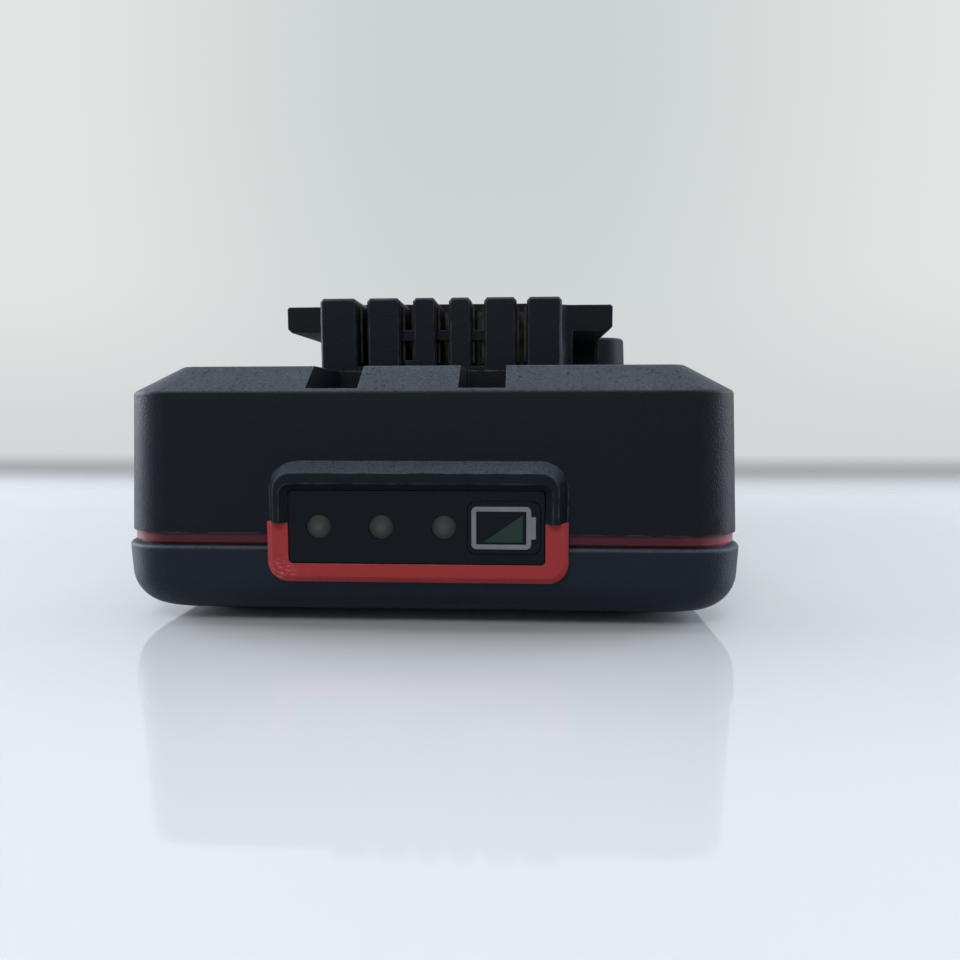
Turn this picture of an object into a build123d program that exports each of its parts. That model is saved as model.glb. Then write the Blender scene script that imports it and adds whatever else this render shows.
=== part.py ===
from build123d import *
import os

# Slide-on battery pack for power tools: five cells in a two-part moulded case, with a red trim between
# the halves, a charge gauge on the leading end, a terminal tower with slide rails on top and a sprung
# latch in a raised block at the other end.
# Lengths are in millimetres. +X is to the right seen from the gauge end, +Y runs from the gauge end to
# the latch end and +Z is up. The origin is under the middle of the pack, on the surface it stands on.

# Cells
cell_count = 5
cell_length = 65.1
cell_radius = 9.2
cell_gap = 0.4
cell_fit = 0.1
cell_button_radius = 3.6
cell_ring_radius = 7.6
cell_ring_depth = 0.6
cell_edge_round = 0.5

# Cell carrier
carrier_wall = 1.2
carrier_split = 0.3
carrier_window_share = 0.62
carrier_window_width = 6.0
link_thickness = 0.3
link_width = 8.0
paper_thickness = 0.4
pad_width = 46.0
pad_height = 14.0

# Case
case_wall = 2.0
case_floor = 2.2
corner_radius = 7.0
side_bay = 4.0
front_bay = 10.15
rear_bay = 7.45
draft_share = 0.04
lower_height = 10.0
lower_draft = 0.4
lower_rim_round = 0.4
bottom_slope_reach = 9.5
bottom_slope_rise = 2.65
bottom_slope_corner = 3.0
bottom_round = 5.0
bottom_toe_round = 8.0
floor_round = 4.0
seam_height = 1.6
upper_step = 0.45
bevel_drop = 3.3
side_bevel = 5.8
front_bevel = 4.9
bevel_corner_radius = 2.0
bevel_top_round = 1.2
bevel_foot_round = 0.5
board_headroom = 3.5
hold_rib_width = 1.6

# Trim
trim_inset = 0.75
trim_core_inset = 1.3
trim_inner_inset = 2.3
trim_bead_lift = 0.45
trim_bead_height = 1.15
bracket_proud = 1.2
bracket_seat = 1.0
bracket_arm_width = 2.7
bracket_bar_height = 2.3
bracket_arm_rise = 4.9
bracket_corner = 2.4
bracket_inner_corner = 0.5
bracket_bevel = 0.75

# Gauge window, panel and arch
gauge_offset = 0.75
window_height = 8.8
window_drop = 1.7
arch_proud = 2.0
arch_top_band = 2.05
arch_inner_slope = 0.8
arch_slope_run = 1.2
arch_corner = 3.4
window_frame_margin = 2.6
window_frame_depth = 2.9
panel_recess = 0.15
panel_fit = 0.1
panel_flange_margin = 1.3
panel_flange_depth = 0.8
panel_corner = 0.5

# Gauge lenses and button
lens_count = 3
lens_radius = 1.45
lens_pitch = 7.42
lens_first_inset = 3.7
lens_dome = 0.15
lens_flange_radius = 1.9
lens_flange_depth = 0.8
lens_fit = 0.03
lens_pipe_radius = 1.2
button_width = 8.5
button_height = 6.2
button_corner = 1.1
button_fit = 0.06
button_edge_inset = 0.6
button_gap = 1.31
button_flange_margin = 0.6
button_flange_depth = 1.0
button_travel = 0.6
button_stem_radius = 1.2
icon_width = 6.95
icon_height = 5.0
icon_stroke = 0.56
icon_corner = 0.6
icon_nub_length = 0.55
icon_nub_height = 2.6
icon_ink = 0.12
icon_shift = 0.3
wedge_inset = 0.8

# Gauge board and switch
gauge_board_setback = 9.0
gauge_board_thickness = 1.0
gauge_board_margin = 3.5
gauge_board_height = 18.5
led_width = 1.6
led_height = 0.8
led_depth = 0.8
switch_width = 4.5
switch_depth = 2.0
plunger_radius = 1.0
plunger_fit = 0.1
plunger_length = 1.3
bore_depth = 1.6
post_width = 3.0
post_depth = 3.6
post_fit = 0.1
post_bite = 1.0
ribbon_width = 10.0
ribbon_thickness = 0.3
ribbon_overlap = 3.0

# Slide rails and terminal tower
comb_setback = 20.0
comb_depth = 12.0
comb_width = 34.4
comb_step = 0.4
slot_depth = 10.0
slot_floor_lift = 0.7
power_slot_width = 1.45
signal_slot_width = 1.8
slot_centre_shares = (-0.325, -0.139, 0.010, 0.155, 0.336)
slot_is_power = (True, False, False, False, True)
rib_top_bevel_width = 0.45
rib_top_bevel_height = 0.5
rib_edge_bevel = 0.3
bridge_height = 1.5
bridge_depth = 1.5
bridge_lift = 3.7
bridge_setback = 1.5
groove_height = 6.7
groove_length = 22.0
groove_cove = 4.0
rail_thickness = 4.0
rail_width = 51.3
neck_width = 39.0
rail_edge_bevel = 0.6
tower_fillet = 2.2
tower_cavity_width = 33.0
channel_shares = (-0.325, 0.2)
channel_widths = (6.35, 5.65)
channel_depth = 2.9
channel_land = 0.5
key_pad_width = 2.0
key_pad_height = 1.5
key_pad_depth = 0.5

# Terminals and main board
leaf_thickness = 0.3
leaf_fit = 0.05
leaf_setback = 2.2
leaf_top_gap = 1.0
leaf_foot = 0.6
spine_depth = 1.0
spine_fit = 0.2
tail_fit = 0.2
board_post_height = 1.6
board_post_radius = 2.2
board_post_inset = 3.5
board_width = 46.0
board_thickness = 1.6
board_front_setback = 4.0
board_rear_setback = 1.0
board_screw_radius = 0.9
board_screw_head_radius = 1.7
board_screw_head_height = 1.1
board_screw_length = 3.0
fet_size = 9.0
fet_height = 2.3
chip_size = 7.0
chip_height = 1.4
capacitor_radius = 3.0
capacitor_height = 9.0
thermistor_radius = 0.75
thermistor_length = 3.5
tab_width = 5.0
tab_reach = 1.0

# End block and latch
end_block_length = 19.0
end_block_rise = 1.2
end_block_round = 0.9
end_block_corner = 6.0
guide_wall = 1.6
latch_width = 27.8
latch_fit = 0.3
latch_height = 8.8
latch_travel = 4.0
hook_width = 17.4
hook_length = 5.6
hook_setback = 2.4
hook_rise = 4.5
hook_land = 1.3
hook_lip = 1.2
thumb_width = 21.6
thumb_height = 5.7
thumb_drop = 1.6
thumb_rib_count = 3
thumb_rib_height = 0.7
thumb_rib_depth = 0.4
thumb_recess = 0.5
skirt_depth = 2.0
skirt_drop = 5.0
spring_radius = 2.6
spring_bore = 1.7
spring_offset = 7.5

# Case screws
screw_radius = 1.25
screw_fit = 0.15
screw_pilot_fit = 0.03
screw_head_radius = 2.2
screw_head_height = 2.0
screw_head_fit = 0.25
screw_sink = 4.0
screw_length = 16.0
screw_boss_radius = 3.3
screw_drive_radius = 1.0
screw_drive_depth = 1.2

# How far a cutter runs past the face that it opens, and how level an edge is that counts as level
overrun = 1.0
level_tolerance = 0.01

# Places worked out from the sizes above
cell_pitch = 2 * cell_radius + cell_gap
row_length = cell_count * cell_pitch
carrier_length = row_length + 2 * carrier_wall
case_width = cell_length + 2 * (side_bay + case_wall)
case_length = carrier_length + front_bay + rear_bay + 2 * case_wall
front_y = (arch_proud - case_length) / 2
rear_y = front_y + case_length
middle_y = front_y + case_length / 2
carrier_front_y = front_y + case_wall + front_bay
carrier_rear_y = carrier_front_y + carrier_length
cell_z = case_floor + carrier_wall + cell_fit + cell_radius
carrier_top_z = cell_z + cell_radius + cell_fit + carrier_wall
board_z = carrier_top_z + board_post_height
board_top_z = board_z + board_thickness
ceiling_z = board_top_z + board_headroom
shoulder_z = ceiling_z + case_wall
bevel_z = shoulder_z - bevel_drop
upper_z = lower_height + seam_height
rail_z = shoulder_z + groove_height
tower_top_z = rail_z + rail_thickness
comb_top_z = tower_top_z - comb_step
block_top_z = tower_top_z + end_block_rise
comb_y = front_y + comb_setback
rail_y = comb_y + comb_depth
groove_end_y = rail_y + groove_length
slot_rear_y = comb_y + slot_depth
block_y = rear_y - end_block_length
slot_floor_z = shoulder_z + slot_floor_lift
channel_floor_z = shoulder_z - channel_depth
channel_end_y = comb_y - channel_land
window_z = lower_height - window_drop
window_top_z = window_z + window_height
lens_row = (lens_count - 1) * lens_pitch
window_width = lens_first_inset + lens_row + lens_radius + button_gap + button_width + button_edge_inset
window_left_x = -gauge_offset - window_width / 2
window_right_x = window_left_x + window_width
bracket_left_x = window_left_x - bracket_arm_width
bracket_right_x = window_right_x + bracket_arm_width
bracket_z = window_z - bracket_bar_height
arm_top_z = window_z + bracket_arm_rise
gauge_z = window_z + window_height / 2
panel_y = front_y - bracket_proud + panel_recess
flange_y = front_y + window_frame_depth
flange_rear_y = flange_y + panel_flange_depth
gauge_board_y = front_y + gauge_board_setback
button_x = window_right_x - button_edge_inset - button_width / 2
screw_x = cell_length / 2 - cell_fit - screw_boss_radius / 3
screw_front_y = front_y + case_wall + upper_step + screw_boss_radius
screw_rear_y = rear_y - case_wall - upper_step - screw_boss_radius
board_y = comb_y + board_front_setback
board_rear_y = block_y - board_rear_setback
latch_floor_z = block_top_z - case_wall - latch_height
latch_front_y = block_y + case_wall + latch_fit


def draft_inset(z):
    """How far the upper case has drawn in from the lower case's outline at height z."""
    return upper_step + draft_share * (z - upper_z)


def case_rear_y(z):
    """The outer rear face of the upper case at height z."""
    return rear_y - draft_inset(z)


latch_rear_y = case_rear_y(block_top_z) - case_wall - latch_fit


def block(x0, x1, y0, y1, z0, z1):
    """A box between two corners."""
    return Pos((x0 + x1) / 2, (y0 + y1) / 2, (z0 + z1) / 2) * Box(x1 - x0, y1 - y0, z1 - z0)


def post(x, y, z0, z1, radius):
    """An upright cylinder between two heights."""
    return Pos(x, y, (z0 + z1) / 2) * Cylinder(radius, z1 - z0)


def rod_x(y, z, x0, x1, radius):
    """A cylinder along X."""
    return Pos((x0 + x1) / 2, y, z) * Rot(0, 90, 0) * Cylinder(radius, x1 - x0)


def rod_y(x, z, y0, y1, radius):
    """A cylinder along Y."""
    return Pos(x, (y0 + y1) / 2, z) * Rot(90, 0, 0) * Cylinder(radius, y1 - y0)


def plate_y(x0, x1, z0, z1, y0, y1, radius):
    """A plate that faces the gauge end, with rounded corners, from y0 back to y1."""
    face = Plane.XZ.offset(-y1) * Pos((x0 + x1) / 2, (z0 + z1) / 2) * RectangleRounded(x1 - x0, z1 - z0, radius)
    return extrude(face, y1 - y0)


def outline(inset, z, radius=None):
    """The case's plan outline, drawn in by inset, at height z."""
    corner = corner_radius - inset if radius is None else radius
    shape = RectangleRounded(case_width - 2 * inset, case_length - 2 * inset, corner)
    return Pos(0, middle_y, z) * shape


def drafted(z0, z1, inset):
    """The upper case's drafted body between two heights, drawn in by inset."""
    foot = outline(draft_inset(z0) + inset, z0)
    head = outline(draft_inset(z1) + inset, z1)
    return loft([foot, head], ruled=True)


def bevelled_cap(z0, z1, inset):
    """The sloped shoulder between the drafted walls and the flat top."""
    reach = draft_inset(z0) + inset
    foot = outline(reach, z0)
    width = case_width - 2 * (reach + side_bevel)
    length = case_length - 2 * (reach + front_bevel)
    head = Pos(0, middle_y, z1) * RectangleRounded(width, length, bevel_corner_radius)
    return loft([foot, head], ruled=True)


def edges_at(body, z):
    """The edges of a body that lie flat at height z."""
    return [edge for edge in body.edges()
            if abs(edge.bounding_box().min.Z - z) + abs(edge.bounding_box().max.Z - z) < level_tolerance]


def screw_places():
    """The four corners where the case is screwed together."""
    return [(side * screw_x, y) for y in (screw_front_y, screw_rear_y) for side in (-1, 1)]


def slot_spans():
    """The left and right edge of each terminal slot, from left to right."""
    spans = []
    for share, power in zip(slot_centre_shares, slot_is_power):
        half = (power_slot_width if power else signal_slot_width) / 2
        spans.append((share * comb_width - half, share * comb_width + half))
    return spans


def channel_spans():
    """The left and right edge of each guide channel in the shoulder."""
    return [(share * comb_width - width / 2, share * comb_width + width / 2)
            for share, width in zip(channel_shares, channel_widths)]


def bracket_body(y0, y1, grow=0.0):
    """The red bracket's outer form, up to the top of its arms."""
    form = plate_y(bracket_left_x - grow, bracket_right_x + grow, bracket_z - grow,
                   arm_top_z + bracket_corner + overrun, y0, y1, bracket_corner)
    keep = block(bracket_left_x - overrun, bracket_right_x + overrun, y0 - overrun, y1 + overrun,
                 bracket_z - overrun, arm_top_z)
    return form & keep


def window_cutter(grow=0.0):
    """The gauge window, right through the front wall."""
    return plate_y(window_left_x - grow, window_right_x + grow, window_z - grow, window_top_z + grow,
                   front_y - arch_proud - overrun, flange_y + overrun, bracket_inner_corner)


def window_flare():
    """The sloped inner faces of the arch, from its front down to the gauge panel."""
    x, z = (window_left_x + window_right_x) / 2, (window_z + window_top_z) / 2
    width, height = window_right_x - window_left_x, window_top_z - window_z
    grow = 2 * arch_inner_slope
    near = Plane.XZ.offset(arch_proud - front_y) * Pos(x, z)
    far = Plane.XZ.offset(-panel_y) * Pos(x, z)
    form = loft([near * RectangleRounded(width + grow, height + grow, bracket_inner_corner + arch_inner_slope),
                 far * RectangleRounded(width, height, bracket_inner_corner)], ruled=True)
    return form & block(bracket_left_x, bracket_right_x, front_y - arch_proud - overrun, front_y,
                        arm_top_z, window_top_z + grow)


def window_frame(z0, z1):
    """A flat land behind the front wall that the gauge panel is seated on."""
    return block(window_left_x - window_frame_margin, window_right_x + window_frame_margin,
                 front_y + case_wall / 2, flange_y, z0, z1)


def lower_form():
    """The lower half's outer form, solid: steep walls over a rounded slope down to the flat base."""
    toe = outline(bottom_slope_reach, 0, bottom_slope_corner)
    heel = outline(lower_draft, bottom_slope_rise)
    body = loft([heel, outline(0, lower_height)], ruled=True) + loft([toe, heel], ruled=True)
    body = fillet(edges_at(body, bottom_slope_rise), bottom_round)
    body = fillet(body.faces().sort_by(Axis.Z)[0].edges(), bottom_toe_round)
    return fillet(body.faces().sort_by(Axis.Z)[-1].edges(), lower_rim_round)


def lower_case():
    """The lower half: a tub with a sloped foot, screw bosses and posts for the gauge board."""
    form = lower_form()
    cavity = loft([outline(lower_draft + case_wall, case_floor), outline(case_wall, lower_height)], ruled=True)
    body = form - fillet(cavity.faces().sort_by(Axis.Z)[0].edges(), floor_round)
    reach = form + extrude(outline(trim_inner_inset, lower_height), seam_height)
    body += window_frame(window_z - window_frame_margin, lower_height)
    for x, y in screw_places():
        body += post(x, y, case_floor / 2, upper_z, screw_boss_radius) & reach
    board_left = window_left_x - gauge_board_margin
    board_right = window_right_x + gauge_board_margin
    for edge, side in ((board_left, -1), (board_right, 1)):
        inner = edge - side * post_bite
        outer = inner + side * post_width
        body += block(min(inner, outer), max(inner, outer),
                      gauge_board_y + (gauge_board_thickness - post_depth) / 2,
                      gauge_board_y + (gauge_board_thickness + post_depth) / 2, case_floor / 2, upper_z)
    body -= block(board_left - post_fit, board_right + post_fit, gauge_board_y - post_fit,
                  gauge_board_y + gauge_board_thickness + post_fit, case_floor, upper_z + overrun)
    for x, y in screw_places():
        body -= post(x, y, -overrun, screw_sink, screw_head_radius + screw_head_fit)
        body -= post(x, y, 0, upper_z + overrun, screw_radius + screw_fit)
    body -= bracket_body(front_y - overrun, front_y + bracket_seat)
    body -= window_cutter()
    return body


def trim_ring():
    """The red band in the seam, in one piece with the bracket that holds the gauge's lower edge."""
    ring = extrude(outline(trim_core_inset, lower_height), seam_height)
    ring += extrude(outline(trim_inset, lower_height + trim_bead_lift), trim_bead_height)
    ring -= extrude(outline(trim_inner_inset, lower_height - overrun), seam_height + 2 * overrun)
    bracket = bracket_body(front_y - bracket_proud, front_y + bracket_seat)
    face = bracket.faces().sort_by(Axis.Y)[0]
    bracket = chamfer([edge for edge in face.edges() if edge.center().Z < arm_top_z - panel_fit], bracket_bevel)
    ring += bracket
    return ring - window_cutter()


def arch():
    """The proud arch over the gauge, with sloped outer faces, in one piece with the upper case."""
    base_y = front_y + draft_inset(window_top_z + arch_top_band)
    depth = base_y - front_y + arch_proud
    top = window_top_z + arch_top_band + arch_slope_run
    width = bracket_right_x - bracket_left_x
    height = top - bracket_z
    face = Plane.XZ.offset(-base_y) * Pos((bracket_left_x + bracket_right_x) / 2, bracket_z + height / 2)
    near = Plane.XZ.offset(arch_proud - front_y) * Pos((bracket_left_x + bracket_right_x) / 2,
                                                      bracket_z + height / 2)
    foot = face * RectangleRounded(width, height, arch_corner)
    head = near * RectangleRounded(width - 2 * arch_slope_run, height - 2 * arch_slope_run,
                                   arch_corner - arch_slope_run)
    body = loft([foot, head], ruled=True)
    keep = block(bracket_left_x - overrun, bracket_right_x + overrun, front_y - depth - overrun,
                 base_y + overrun, arm_top_z, top + overrun)
    return body & keep


def rail_profile():
    """Half of the tower's T section, drawn on +X, as a list of points."""
    half = rail_width / 2
    return [(0, bevel_z), (neck_width / 2, bevel_z), (neck_width / 2, rail_z),
            (half - rail_edge_bevel, rail_z), (half, rail_z + rail_edge_bevel),
            (half, tower_top_z - rail_edge_bevel / 2), (half - rail_edge_bevel / 2, tower_top_z),
            (0, tower_top_z)]


def rails():
    """The tower's neck, the two slide rails that overhang it and the pedestal that ends their grooves."""
    points = rail_profile()
    left = [(-x, z) for x, z in reversed(points[1:-1])]
    face = Plane.XZ.offset(-block_y - overrun) * make_face(Polyline(*(points + left), close=True))
    body = extrude(face, block_y + overrun - rail_y)
    body += block(-rail_width / 2, rail_width / 2, groove_end_y, block_y + overrun, bevel_z,
                  rail_z + rail_edge_bevel)
    for side in (-1, 1):
        x = side * comb_width / 2
        corner = block(min(x, x + side * tower_fillet), max(x, x + side * tower_fillet),
                       rail_y - tower_fillet, rail_y, bevel_z, tower_top_z)
        body += corner - post(x + side * tower_fillet, rail_y - tower_fillet, bevel_z - overrun,
                              tower_top_z + overrun, tower_fillet)
    reach = rail_width / 2 - rail_edge_bevel
    cove = block(-reach, reach, groove_end_y - groove_cove, groove_end_y, rail_z - groove_cove, rail_z)
    return body + (cove - rod_x(groove_end_y - groove_cove, rail_z - groove_cove, -rail_width, rail_width,
                                groove_cove))


def comb_rib(x0, x1):
    """One rib of the terminal comb, with sloped top corners and bevelled front edges."""
    width = min(rib_top_bevel_width, (x1 - x0) / 4)
    top = comb_top_z
    points = [(x0, bevel_z), (x1, bevel_z), (x1, top - rib_top_bevel_height), (x1 - width, top),
              (x0 + width, top), (x0, top - rib_top_bevel_height)]
    face = Plane.XZ.offset(-slot_rear_y - spine_depth) * make_face(Polyline(*points, close=True))
    rib = extrude(face, slot_rear_y + spine_depth - comb_y)
    return chamfer(rib.faces().sort_by(Axis.Y)[0].edges(), rib_edge_bevel)


def comb():
    """The terminal comb: six ribs, the floor of its slots and the wall behind them."""
    half = comb_width / 2
    edges = [-half] + [x for span in slot_spans() for x in span] + [half]
    body = block(-half, half, slot_rear_y, rail_y + overrun, bevel_z, tower_top_z)
    body += block(-half + rib_edge_bevel, half - rib_edge_bevel, comb_y + rib_edge_bevel, rail_y,
                  bevel_z, slot_floor_z)
    for x0, x1 in zip(edges[0::2], edges[1::2]):
        body += comb_rib(x0, x1)
    bridge_y = comb_y + bridge_setback
    bridge_z = slot_floor_z + bridge_lift
    for (x0, x1), power in zip(slot_spans(), slot_is_power):
        if not power:
            body += block(x0 - rib_edge_bevel, x1 + rib_edge_bevel, bridge_y, bridge_y + bridge_depth,
                          bridge_z, bridge_z + bridge_height)
    pad_x = slot_spans()[1][1]
    body += block(pad_x - key_pad_width / 2, pad_x + key_pad_width / 2, comb_y - key_pad_depth,
                  comb_y + rib_edge_bevel + key_pad_depth, shoulder_z - case_wall / 2, shoulder_z + key_pad_height)
    return body


def end_block():
    """The raised block at the latch end, with its walls in line with the case's."""
    body = drafted(bevel_z - overrun, block_top_z, 0)
    body &= block(-case_width, case_width, block_y, rear_y + overrun, bevel_z - overrun, block_top_z + overrun)
    corners = [edge for edge in body.edges().filter_by(GeomType.LINE)
               if edge.center().Y < block_y + overrun and edge.bounding_box().size.Z > groove_height]
    body = fillet(corners, end_block_corner)
    return fillet(body.faces().sort_by(Axis.Z)[-1].edges(), end_block_round)


def tower_cavity():
    """The hollow under the rails, open to the inside of the case."""
    half = tower_cavity_width / 2
    wide = rail_width / 2 - case_wall
    top = tower_top_z - case_wall
    narrow = block(-half, half, rail_y + case_wall, block_y - case_wall, ceiling_z - overrun, top)
    return narrow + block(-wide, wide, groove_end_y + case_wall, block_y - case_wall, ceiling_z - overrun, top)


def end_cavity():
    """The hollow inside the end block, less the two walls that guide the latch."""
    low = bevel_z - case_wall
    top = block_top_z - case_wall
    body = drafted(low, top, case_wall)
    body &= block(-case_width, case_width, block_y + case_wall, rear_y, low, top)
    guide = latch_width / 2 + latch_fit
    for side in (-1, 1):
        inner, outer = side * guide, side * (guide + guide_wall)
        body -= block(min(inner, outer), max(inner, outer), block_y, rear_y, low, top)
    for x, y in screw_places():
        body -= post(x, y, low, top, screw_boss_radius)
    return body


def hook_cutter():
    """The opening in the end block's top that the hook comes through."""
    half = hook_width / 2 + latch_fit
    y0 = latch_front_y + hook_setback - latch_fit
    return block(-half, half, y0, y0 + hook_length + 2 * latch_fit, block_top_z - case_wall - overrun,
                 block_top_z + overrun)


def thumb_cutter():
    """The opening in the rear wall that the thumb pad moves in."""
    half = thumb_width / 2 + latch_fit
    top = block_top_z - case_wall - thumb_drop + latch_fit
    bottom = top - thumb_height - 2 * latch_fit - latch_travel
    return block(-half, half, latch_rear_y - overrun, rear_y + overrun, bottom, top)


def case_cavity():
    """The hollow of the upper case, less the floors of the guide channels and the hold-down ribs."""
    edge_z = bevel_z - case_wall / 2
    body = drafted(upper_z - overrun, edge_z, case_wall) + bevelled_cap(edge_z, ceiling_z, case_wall)
    for x0, x1 in channel_spans():
        body -= block(x0 - case_wall, x1 + case_wall, front_y, channel_end_y + case_wall,
                      channel_floor_z - case_wall, shoulder_z)
    for x, y in screw_places():
        body -= post(x, y, upper_z, shoulder_z, screw_boss_radius)
    rib_x = (board_width + cell_length) / 4
    for side in (-1, 1):
        body -= block(side * rib_x - hold_rib_width / 2, side * rib_x + hold_rib_width / 2,
                      cell_places()[0] + link_width, cell_places()[-1] - link_width, carrier_top_z, shoulder_z)
    return body - window_frame(upper_z - 2 * overrun, window_top_z + window_frame_margin)


def upper_case():
    """The upper half: shoulder, guide channels, terminal tower, slide rails, arch and latch housing."""
    cap = bevelled_cap(bevel_z, shoulder_z, 0)
    body = drafted(upper_z, bevel_z, 0) + fillet(cap.faces().sort_by(Axis.Z)[-1].edges(), bevel_top_round)
    body = fillet(edges_at(body, bevel_z), bevel_foot_round)
    body += end_block()
    body -= case_cavity()
    body += rails() - block(-rail_width, rail_width, front_y, rear_y, bevel_z - overrun, ceiling_z)
    body += comb() - block(-rail_width, rail_width, front_y, rear_y, bevel_z - overrun, ceiling_z)
    body += arch()
    body -= tower_cavity()
    body -= end_cavity()
    body -= hook_cutter()
    body -= thumb_cutter()
    body -= window_cutter()
    body -= window_flare()
    body -= bracket_body(front_y - bracket_proud - overrun, front_y + bracket_seat)
    for x0, x1 in channel_spans():
        body -= block(x0, x1, front_y - overrun, channel_end_y, channel_floor_z, shoulder_z + overrun)
    for x0, x1 in slot_spans():
        body -= block(x0, x1, slot_rear_y - spine_depth - spine_fit - tail_fit, slot_rear_y,
                      ceiling_z - overrun, slot_floor_z + overrun)
    for x, y in screw_places():
        body -= post(x, y, upper_z - overrun, screw_sink + screw_length + overrun,
                     screw_radius + screw_pilot_fit)
    return body


def lens_places():
    """The X place of each gauge lens."""
    return [window_left_x + lens_first_inset + i * lens_pitch for i in range(lens_count)]


def gauge_panel():
    """The flat panel in the gauge window, with a flange behind the wall and holes for its inserts."""
    body = plate_y(window_left_x + panel_fit, window_right_x - panel_fit, window_z + panel_fit,
                   window_top_z - panel_fit, panel_y, flange_y, panel_corner)
    margin = panel_flange_margin
    body += plate_y(window_left_x - margin, window_right_x + margin, window_z - margin,
                    window_top_z + margin, flange_y, flange_rear_y, panel_corner)
    for x in lens_places():
        body -= rod_y(x, gauge_z, panel_y - overrun, flange_rear_y + overrun, lens_radius + lens_fit)
    half_width = button_width / 2 + button_fit
    half_height = button_height / 2 + button_fit
    body -= plate_y(button_x - half_width, button_x + half_width, gauge_z - half_height,
                    gauge_z + half_height, panel_y - overrun, flange_rear_y + overrun, button_corner)
    return body


def gauge_lens(x):
    """One clear light pipe, with a shallow dome at its face and a flange behind the panel."""
    face = rod_y(x, gauge_z, panel_y, flange_rear_y, lens_radius)
    flange = rod_y(x, gauge_z, flange_rear_y, flange_rear_y + lens_flange_depth, lens_flange_radius)
    pipe = rod_y(x, gauge_z, flange_rear_y, gauge_board_y - led_depth, lens_pipe_radius)
    ball_radius = (lens_radius ** 2 + lens_dome ** 2) / (2 * lens_dome)
    ball = Pos(x, panel_y - lens_dome + ball_radius, gauge_z) * Sphere(ball_radius)
    dome = ball & rod_y(x, gauge_z, panel_y - lens_dome - overrun, panel_y, lens_radius)
    return face + flange + pipe + dome


def gauge_button():
    """The press pad at the gauge's right, with a flange that keeps it in and a stem to the switch."""
    body = plate_y(button_x - button_width / 2, button_x + button_width / 2, gauge_z - button_height / 2,
                   gauge_z + button_height / 2, panel_y, flange_rear_y, button_corner)
    margin = button_flange_margin
    flange_end = flange_rear_y + button_flange_depth
    body += plate_y(button_x - button_width / 2 - margin, button_x + button_width / 2 + margin,
                    gauge_z - button_height / 2 - margin, gauge_z + button_height / 2 + margin,
                    flange_rear_y, flange_end, button_corner)
    stem_end = gauge_board_y - switch_depth - button_travel
    return body + rod_y(button_x, gauge_z, flange_end, stem_end, button_stem_radius)


def icon_outline():
    """The pale battery pictogram's outline on the button, with the nub at its right."""
    x = button_x - icon_shift
    half_width, half_height = icon_width / 2, icon_height / 2
    y0, y1 = panel_y - icon_ink, panel_y
    body = plate_y(x - half_width, x + half_width, gauge_z - half_height, gauge_z + half_height, y0, y1,
                   icon_corner)
    body -= block(x - half_width + icon_stroke, x + half_width - icon_stroke, y0 - overrun, y1 + overrun,
                  gauge_z - half_height + icon_stroke, gauge_z + half_height - icon_stroke)
    return body + block(x + half_width - icon_stroke, x + half_width + icon_nub_length, y0, y1,
                        gauge_z - icon_nub_height / 2, gauge_z + icon_nub_height / 2)


def icon_wedge():
    """The green charge wedge inside the pictogram."""
    x = button_x - icon_shift
    left = x - icon_width / 2 + icon_stroke + wedge_inset
    right = x + icon_width / 2 - icon_stroke - wedge_inset / 2
    bottom = gauge_z - icon_height / 2 + icon_stroke + wedge_inset / 3
    top = gauge_z + icon_height / 2 - icon_stroke - wedge_inset / 2
    face = Plane.XZ.offset(-panel_y) * make_face(Polyline((left, bottom), (right, bottom), (right, top),
                                                          close=True))
    return extrude(face, icon_ink)


def gauge_board():
    """The upright circuit board behind the gauge."""
    return block(window_left_x - gauge_board_margin, window_right_x + gauge_board_margin, gauge_board_y,
                 gauge_board_y + gauge_board_thickness, case_floor, case_floor + gauge_board_height)


def gauge_leds():
    """The small lamps on the gauge board, one behind each lens."""
    return [block(x - led_width / 2, x + led_width / 2, gauge_board_y - led_depth, gauge_board_y,
                  gauge_z - led_height / 2, gauge_z + led_height / 2) for x in lens_places()]


def gauge_switch():
    """The switch body on the gauge board, with the bore that its plunger moves in."""
    half = switch_width / 2
    front = gauge_board_y - switch_depth
    body = block(button_x - half, button_x + half, front, gauge_board_y, gauge_z - half, gauge_z + half)
    return body - rod_y(button_x, gauge_z, front - overrun, front + bore_depth, plunger_radius + plunger_fit)


def switch_plunger():
    """The switch's plunger, between the button's stem and the inside of the switch."""
    front = gauge_board_y - switch_depth - button_travel
    return rod_y(button_x, gauge_z, front, front + plunger_length, plunger_radius)


def gauge_ribbon():
    """The flat cable from the gauge board, over the carrier, to the main board."""
    half = ribbon_width / 2
    rear = gauge_board_y + gauge_board_thickness
    top = carrier_top_z + ribbon_thickness
    low = case_floor + gauge_board_height - ribbon_overlap
    riser = block(-half, half, rear, rear + ribbon_thickness, low, top)
    run_end = board_y + ribbon_overlap
    run = block(-half, half, rear, run_end, carrier_top_z, top)
    climb = block(-half, half, run_end - ribbon_thickness, run_end, carrier_top_z, board_z)
    return riser + run + climb


def cell_places():
    """The Y place of each cell's axis."""
    first = carrier_front_y + carrier_wall + cell_pitch / 2
    return [first + i * cell_pitch for i in range(cell_count)]


def cell(index):
    """One round cell, its plus end turned to either side in turn."""
    y = cell_places()[index]
    side = 1 if index % 2 == 0 else -1
    can = rod_x(y, cell_z, -cell_length / 2, cell_length / 2, cell_radius)
    can = fillet(can.edges().filter_by(GeomType.CIRCLE), cell_edge_round)
    end, inner = side * cell_length / 2, side * (cell_length / 2 - cell_ring_depth)
    groove = rod_x(y, cell_z, min(inner, end + side * overrun), max(inner, end + side * overrun),
                   cell_ring_radius)
    groove -= rod_x(y, cell_z, min(inner, end + side * overrun), max(inner, end + side * overrun),
                    cell_button_radius)
    return can - groove


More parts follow.
